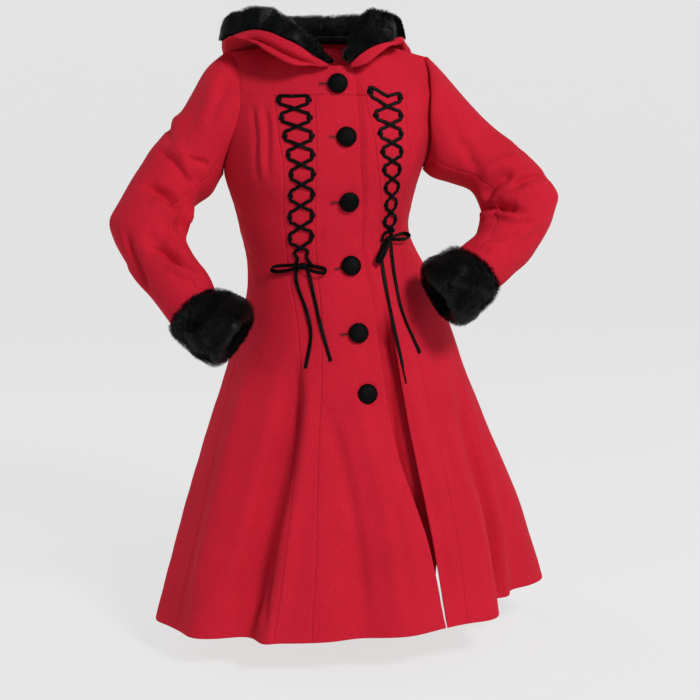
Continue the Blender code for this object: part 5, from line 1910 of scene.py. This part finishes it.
@dataclass(frozen=True)
class Button:
    """A mould covered in velvet, held by its shank, with its buttonhole beside it."""

    body: BodyForm
    number: int
    place: Spot
    hole: float = 0.0185
    stitch: float = 0.0029
    pitch: float = 0.00095
    thread: float = 0.00044

    def dome(self) -> Shape:
        """The covered mould, its velvet gathered into pleats under the rim.

        Returns:
            The shape, in its own axes.
        """
        outline = ((0.0, 1.0), (0.20, 0.992), (0.40, 0.955), (0.60, 0.87), (0.78, 0.73),
                   (0.91, 0.54), (0.985, 0.32), (1.0, 0.16), (0.96, 0.03), (0.80, -0.02),
                   (0.45, 0.0), (0.18, 0.0), (0.18, -0.26), (0.0, -0.26))
        profile = spline(np.array(outline), np.linspace(0.0, len(outline) - 1.0, 40))
        profile[:, 0] = np.maximum(profile[:, 0], 0.0)
        turn = np.arange(64) * 2.0 * math.pi / 64
        rim = smooth((profile[:, 0] - 0.55) / 0.4) * smooth((0.75 - profile[:, 1]) / 0.6)
        pleat = np.sin(17.0 * turn + 0.7 * np.sin(3.0 * turn + self.number))
        radius = profile[:, :1] * BUTTON_RADIUS * (1.0 + 0.020 * rim[:, None] * pleat)
        swell = 1.0 + 0.02 * np.sin(2.0 * turn + self.number)
        height = BUTTON_SHANK + BUTTON_HEIGHT * profile[:, 1:] * swell
        rings = np.stack([radius * np.cos(turn), radius * np.sin(turn), height], axis=-1)
        return tube(rings[1:-1])

    def bar(self, start: Array, stop: Array) -> Shape:
        """One stitch: a short arched thread, in the buttonhole's own axes.

        Args:
            start, stop: its ends.

        Returns:
            The thread.
        """
        share = np.linspace(0.0, 1.0, 5)[:, None]
        route = start + (stop - start) * share
        route[:, 2] += 0.0005 * np.sin(math.pi * share[:, 0]) + 0.0003
        up = np.tile([0.0, 0.0, 1.0], (5, 1))
        return sweep(route, up, ellipse(self.thread, self.thread, 6), 0.7)

    def stitches(self) -> Shape:
        """Purl stitches along both sides of the slit and fanned round its two ends.

        Returns:
            The threads, in the buttonhole's axes.
        """
        half, bars = self.hole / 2, []
        for x in np.arange(-half, half + self.pitch / 2, self.pitch):
            for way in (-1.0, 1.0):
                lean = 0.0002 * math.sin(2100.0 * x + way)
                bars.append(self.bar(np.array([x, way * 0.0004, 0.0]),
                                     np.array([x + lean, way * self.stitch, 0.0])))
        for end, count in ((1.0, 9), (-1.0, 5)):
            for angle in np.linspace(-78.0, 78.0, count):
                a = math.radians(angle)
                way = np.array([end * math.cos(a), math.sin(a), 0.0])
                centre = np.array([end * half, 0.0, 0.0])
                bars.append(self.bar(centre + 0.0008 * way, centre + 1.05 * self.stitch * way))
        return Shape.join(bars)

    def slit(self) -> Shape:
        """The buttonhole's cut, drawn as a dark strip of painted shade between its two rows of
        stitches.
        """
        route = np.array([[x, 0.0, 0.0004] for x in np.linspace(-self.hole / 2, self.hole / 2, 7)])
        return sweep(route, np.tile([0.0, 0.0, 1.0], (7, 1)), ellipse(0.0005, 0.0004, 8), 0.5)

    def build(self) -> None:
        """The button on its shank, and the buttonhole toward the wearer's right."""
        seat, normal = self.body.on_cloth(self.place.angle, self.place.level, BUTTON_SEAT)
        along = self.body.point(self.place.angle + 1.0, self.place.level) - seat
        axes = frame_at(seat, normal, along)
        dress(f"button_{self.number}", "velvet", self.dome().moved(seat, axes), VELVET_TIGHT)
        reach = BUTTON_RADIUS * 0.58 + self.hole / 2
        per_degree = float(np.linalg.norm(along))
        angle = self.place.angle - reach / per_degree
        base = self.body.point(angle, self.place.level)
        out = self.body.normal(angle, self.place.level)
        step = self.body.point(angle + 1.0, self.place.level) - base
        hole_axes = frame_at(base, out, step)
        # the purl stitches, and the dark strip of painted shade along the cut
        for name, shape, finish in (("buttonhole", self.stitches(), THREAD),
                                    ("buttonhole_slit_shade", self.slit(), SLIT_PAINTED_SHADE)):
            make_piece(f"{name}_{self.number}", shape.moved(base, hole_axes), finish)


# ---- lacing and bows ----
LACING_PEAKS = (0.0, 0.13)  # how far the top bar's first corner is drawn up, in levels
# how far each turn stays inside the gore's edges, as shares of its width: near, far
LACING_INSETS = (
    ((0.04, 0.06), (0.06, 0.06), (0.09, 0.03), (0.12, 0.02), (0.16, 0), (0.15, 0), (0.13, 0),
     (0.1, 0.02), (0.08, 0.02)),
    ((0.03, 0.08), (0.08, 0.09), (0.09, 0.14), (0.1, 0.18), (0.09, 0.24), (0.1, 0.25),
     (0.12, 0.26), (0.08, 0.2), (0.06, 0.14)),
)


@dataclass(frozen=True)
class LacedGore:
    """One front's lacing: two crossing ribbons, the loops they run through, and the bow.

    The top bar's first corner is drawn up by its peak.
    """

    body: BodyForm
    lacing: Lacing
    peak: float
    insets: tuple[tuple[float, float], ...]
    width: float = 0.0056
    crown: float = 0.0016
    turn: float = 0.092
    keeper: float = 0.0066
    keeper_lift: float = 0.0034
    loop_half: float = 0.0058
    loop_lean: float = 0.9
    loop_width: float = 0.0080
    tail_width: float = 0.0060

    def angle(self, share: float, level: float) -> float:
        """Angle at a share of the gore's width."""
        low = self.body.seam(self.lacing.lace_out, level)
        high = self.body.seam(self.lacing.lace_in, level)
        return float(low + (high - low) * share)

    def place(self, share: float, level: float, lift: float) -> tuple[Array, Array]:
        """A point above the gore and the direction out of it."""
        return self.body.on_cloth(self.angle(share, level), level, lift)

    def route(self, stops: Sequence[tuple[float, float, float]]) -> tuple[Array, Array]:
        """Points and directions out of the cloth at stops: share, level and lift."""
        points, normals = zip(*(self.place(*stop) for stop in stops))
        return np.array(points), np.array(normals)

    def ribbon(self, points: Array, normals: Array, steps: int, width: float,
               thick: float = RIBBON_THICK, wave: float = 0.0) -> tuple[Array, Shape]:
        """A velvet ribbon along points.

        Args:
            points: places it passes.
            normals: direction out of the cloth at each.
            steps: rows along it.
            width: its width.
            thick: its thickness with its pile.
            wave: how far its edges lift in slow waves.

        Returns:
            Its centreline and its shape.
        """
        shares = np.linspace(0.0, len(points) - 1.0, steps + 1)
        route, facing = spline(points, shares), unit(spline(normals, shares))
        along = unit(np.gradient(route, axis=0))
        side = np.cross(along, facing)
        facing = unit(facing + wave * np.sin(shares * 3.7 + width * 900.0)[:, None] * side)
        return route, sweep(route, facing, ribbon_profile(width, thick))

    def side(self, number: int, turn: int) -> float:
        """Share of the gore's width where a turn lies, on its near or its far side."""
        near, far = self.insets[turn]
        return self.lacing.far - far if number % 2 else self.lacing.near + near

    def strand(self, first_side: int) -> Shape:
        """One strand, from the top bar's middle down to the knot.

        Args:
            first_side: 0 or 1, for the side of its first turn.

        Returns:
            The ribbon.
        """
        lace = self.lacing
        low, high = RIBBON_SEAT, RIBBON_SEAT + RIBBON_THICK + 0.0009
        stops = [(0.505 - 0.01 * first_side, lace.first + self.turn - 0.45 * self.peak, low)]
        for k in range(lace.turns):
            share, ahead = (self.side(first_side + n, n) for n in (k, k + 1))
            level = lace.first - k * lace.step
            lift = self.peak if k == 0 and first_side == 0 else 0.0
            below, above = level - self.turn + lift, level - lace.step + self.turn
            middle = (0.5 * (share + ahead), level - 0.5 * lace.step)
            over = (k + first_side) % 2 == 0
            stops += [(share, level + self.turn + lift, low), (share, below, low),
                      (share + 0.4 * (middle[0] - share), below + 0.4 * (middle[1] - below), low),
                      (*middle, high if over else low),
                      (ahead + 0.4 * (middle[0] - ahead), above + 0.4 * (middle[1] - above), low)]
        aside = 0.26 if ahead > 0.5 else -0.26
        stops += [(lace.share + 0.6 * aside, lace.knot + 0.16, low),
                  (lace.share + 1.1 * aside, lace.knot - 0.01, low)]
        return self.ribbon(*self.route(stops), 270, self.width, self.crown)[1]

    def keepers(self) -> Shape:
        """Short velvet loops sewn into the gore's seams, which hold the ribbons' turns.

        Returns:
            The loops.
        """
        lace, loops = self.lacing, []
        for k in range(lace.turns):
            level = lace.first - k * lace.step
            for number in (0, 1):
                turn, reach = self.side(number, k), 0.085 if number else -0.085
                edge, past = turn + reach, turn - 0.5 * reach
                rise = self.peak if k == 0 and number == 0 else 0.0
                lift = self.keeper_lift
                stops = [(share, level + rise, up) for share, up in (
                    (edge, -0.0004), (0.5 * (edge + turn), 0.8 * lift), (turn, lift),
                    (0.5 * (past + turn), 0.8 * lift), (past, -0.0002))]
                loops.append(self.ribbon(*self.route(stops), 16, self.keeper, 0.0010)[1])
        return Shape.join(loops)

    def knot(self) -> Shape:
        """The bow's knot: a band of ribbon pulled tight, pinched into two creases.

        Returns:
            The knot.
        """
        seat, normal = self.place(self.lacing.share, self.lacing.knot, KNOT_SEAT)
        down = self.place(self.lacing.share, self.lacing.knot - 0.1, KNOT_SEAT)[0] - seat
        axes = frame_at(seat, normal, down)
        rise, turn = np.meshgrid(np.linspace(-86.0, 86.0, 22), np.arange(40) * 9.0, indexing="ij")
        p, t = np.radians(rise), np.radians(turn)
        pinch = 1.0 - 0.10 * np.exp(-((np.abs(np.sin(p)) - 0.35) / 0.10) ** 2)
        x = KNOT_RADIUS * np.sin(p)
        y = 1.5 * KNOT_RADIUS * np.cos(p) * np.cos(t) * pinch
        z = KNOT_HEIGHT * np.cos(p) * np.sin(t) * pinch * (1.0 + 0.08 * np.sin(3.0 * t))
        return tube(seat + np.stack([x, y, z], axis=-1) @ axes.T)

    def bow_loop(self, loop: BowLoop) -> Shape:
        """One bow loop: out along the cloth to its tip and back to the knot.

        Args:
            loop: where it lies.

        Returns:
            The ribbon.
        """
        lace = self.lacing
        angle = self.angle(lace.share, lace.knot)
        knot = self.place(lace.share, lace.knot, KNOT_SEAT)[0]
        tip = self.body.on_cloth(loop.angle, loop.level, loop.lift)[0]
        first = KNOT_REACH * 0.55 / np.linalg.norm(tip - knot)
        out = unit(tip - knot)
        route, square = [], []
        for share, opening in LOOP_OUTLINE:
            along = first + (1.0 - first) * share
            lift = LOOP_ROOT + (loop.lift - LOOP_ROOT) * float(smooth(2.0 * share))
            point, normal = self.body.on_cloth(angle + (loop.angle - angle) * along,
                                               lace.knot + (loop.level - lace.knot) * along, lift)
            beside = np.cross(out, normal)
            route.append(point + self.loop_half * opening * unit(beside + self.loop_lean * normal))
            square.append(unit(normal - self.loop_lean * beside))
        facing = np.cross(unit(np.gradient(np.array(route), axis=0)), np.array(square))
        return self.ribbon(np.array(route), facing, 60, self.loop_width, 0.0014)[1]

    def tail(self, tail: Sequence[Spot]) -> tuple[Array, Shape]:
        """A tail of the bow, from the knot down to its free end: its centreline and shape.

        Args:
            tail: the spots it passes.

        Returns:
            The centreline and the ribbon.
        """
        centre, facing = self.place(self.lacing.share, self.lacing.knot, RIBBON_SEAT)
        pairs = [self.body.on_cloth(p.angle, p.level, RIBBON_SEAT) for p in tail]
        start = centre + KNOT_REACH * 0.6 * unit(pairs[0][0] - centre)
        points = np.array([start] + [p for p, _ in pairs])
        normals = np.array([facing] + [n for _, n in pairs])
        return self.ribbon(points, normals, 72, self.tail_width, wave=0.25)

    def build(self) -> None:
        """The whole lacing and its bow."""
        side = self.lacing.side
        for first_side, letter in ((0, "a"), (1, "b")):
            dress(f"lace_{side}_{letter}", "velvet", self.strand(first_side), VELVET)
        make_piece(f"lace_loops_{side}", self.keepers(), VELVET)
        dress("bow_knot_" + side, "velvet", self.knot(), VELVET)
        for loop in BOW_LOOPS[side]:
            dress(f"bow_loop_{side}_{loop.name}", "velvet", self.bow_loop(loop), VELVET)
        for name, points in BOW_TAILS.items():
            if name.startswith(side):
                route, shape = self.tail(points)
                obj = dress("bow_tail_" + name, "velvet", shape, VELVET)


# ---- studio ----
@dataclass(frozen=True)
class Studio:
    """Camera, pale ground that curves up all round, and soft light."""

    target: tuple[float, float, float] = (0.028, 0.0, -0.518)
    distance: float = 3.0
    pitch: float = 8.0
    lens: float = 89.49
    floor: float = -1.02
    radius: float = 6.0
    glow_near: float = 0.45
    glow_far: float = 0.885

    def aimed(self, name: str, data: bpy.types.ID, place: Vector) -> Object:
        """A camera or lamp at a place, turned to the coat.

        Args:
            name, data: its name and its camera or lamp.
            place: where it stands.

        Returns:
            The object.
        """
        obj = add_object(name, data)
        aim = (Vector(self.target) - place).to_track_quat("-Z", "Y")
        obj.matrix_world = Matrix.Translation(place) @ aim.to_matrix().to_4x4()
        return obj

    def camera(self) -> None:
        """The camera in front of the coat, looking a little down."""
        made = bpy.data.cameras.new("camera")
        made.lens = self.lens
        made.sensor_width = 36.0
        a = math.radians(self.pitch)
        place = Vector(self.target) + self.distance * Vector((0.0, -math.cos(a), math.sin(a)))
        bpy.context.scene.camera = self.aimed("camera", made, place)

    def ground(self) -> None:
        """The ground: a disc whose rim curves up into a wall."""
        steps = [(r, 0.0) for r in np.linspace(0.0, self.radius, 9)[1:]]
        bend = 2.5
        steps += [(self.radius + bend * math.sin(a), bend * (1.0 - math.cos(a)))
                  for a in np.radians(np.linspace(9.0, 90.0, 10))]
        steps += [(self.radius + bend, z) for z in (4.0, 6.0)]
        turn = np.arange(96) * 2.0 * math.pi / 96
        rings = np.array([np.stack([r * np.cos(turn), r * np.sin(turn),
                                    self.floor + z + 0.0 * turn], axis=-1) for r, z in steps])
        count = len(steps)
        verts = np.concatenate([rings.reshape(-1, 3), [[0.0, 0.0, self.floor]]])
        index = closed(np.arange(count * 96).reshape(count, 96))
        quads = grid_faces(index)
        tris = np.stack([np.full(96, count * 96), index[0, :-1], index[0, 1:]], axis=-1)
        mesh = add_mesh("ground", Shape(verts, quads[:, ::-1], tris))
        paper = bpy.data.materials.new("lit matte paper sweep")
        paper.use_nodes = True
        tree = paper.node_tree
        place = add_node(tree, "ShaderNodeTexCoord")
        grain = add_node(tree, "ShaderNodeTexNoise", {"Scale": 3.0, "Detail": 2.0},
                         {"Vector": (place, "Object")})
        ramp = add_node(tree, "ShaderNodeValToRGB", None, {"Fac": (grain, "Fac")})
        ramp.color_ramp.elements[0].color = linear("#6E6E6F")
        ramp.color_ramp.elements[1].color = linear("#707070")
        parts = add_node(tree, "ShaderNodeSeparateXYZ", None, {0: (place, "Object")})
        glow = add_node(tree, "ShaderNodeMapRange",
                        {"interpolation_type": "SMOOTHSTEP", "From Min": -2.4, "From Max": -0.35,
                         "To Min": self.glow_near, "To Max": self.glow_far},
                        {"Value": (parts, "Y")})
        shader = tree.nodes["Principled BSDF"]
        tree.links.new(ramp.outputs["Color"], shader.inputs["Base Color"])
        tree.links.new(glow.outputs["Result"], shader.inputs["Emission Strength"])
        shader.inputs["Roughness"].default_value = 1.0
        shader.inputs["Specular IOR Level"].default_value = 0.0
        shader.inputs["Emission Color"].default_value = linear("#E4E4E4")
        mesh.materials.append(paper)
        add_object("ground", mesh)

    def lamp(self, name: str, place: tuple[float, float, float], size: float,
             power: float) -> None:
        """A soft square lamp aimed at the coat.

        Args:
            name: its name.
            place: where it stands.
            size, power: its side in metres and its watts.
        """
        made = bpy.data.lights.new(name, "AREA")
        made.shape = "SQUARE"
        made.size = size
        made.energy = power
        self.aimed(name, made, Vector(place))

    def light(self) -> None:
        """A key a little right of the camera, a fill on its left, two rims and the sky."""
        self.lamp("key", (1.95, -3.1, 2.2), 1.0, 146.0)
        self.lamp("fill", (-2.6, -2.9, 1.5), 1.8, 3.0)
        self.lamp("behind left", (-2.8, 1.6, 1.4), 1.8, 22.0)
        self.lamp("behind right", (2.6, 2.6, 1.4), 1.8, 14.0)
        world = bpy.data.worlds.new("studio")
        bpy.context.scene.world = world
        world.use_nodes = True
        sky = world.node_tree.nodes["Background"]
        sky.inputs["Color"].default_value = (1.0, 1.0, 1.0, 1.0)
        sky.inputs["Strength"].default_value = 0.10


def main() -> None:
    """Build the studio and every piece of the coat."""
    logging.basicConfig(level=logging.INFO, format="%(message)s")
    studio = Studio()
    studio.camera()
    studio.ground()
    studio.light()
    bpy.context.scene.view_settings.view_transform = "Standard"
    form = BodyForm()
    for lacing, peak, insets in zip(LACINGS, LACING_PEAKS, LACING_INSETS):
        LacedGore(form, lacing, peak, insets).build()
    Body(form).build()
    right = SleeveForm(form, Side.RIGHT, SLEEVE_RIGHT, CUFF_END_RIGHT)
    left = SleeveForm(form, Side.LEFT, SLEEVE_LEFT, CUFF_END_LEFT)
    Sleeve(right, RIGHT_SLEEVE_CREASES, Cut(0.36, 0.48, 0.136), Cut(0.13, 0.42, 0.032)).build()
    Sleeve(left, LEFT_SLEEVE_CREASES, Cut(0.34, 0.44, 0.118), Cut(0.12, 0.40, 0.029)).build()
    Cuff(right, Cut(0.40, 0.15, 0.050), 61).build()
    Cuff(left, Cut(0.38, 0.14, 0.046), 62).build()
    Hood(HoodForm()).build()
    for number, place in enumerate(BUTTONS, start=1):
        Button(form, number, place).build()


if __name__ == "__main__":
    main()
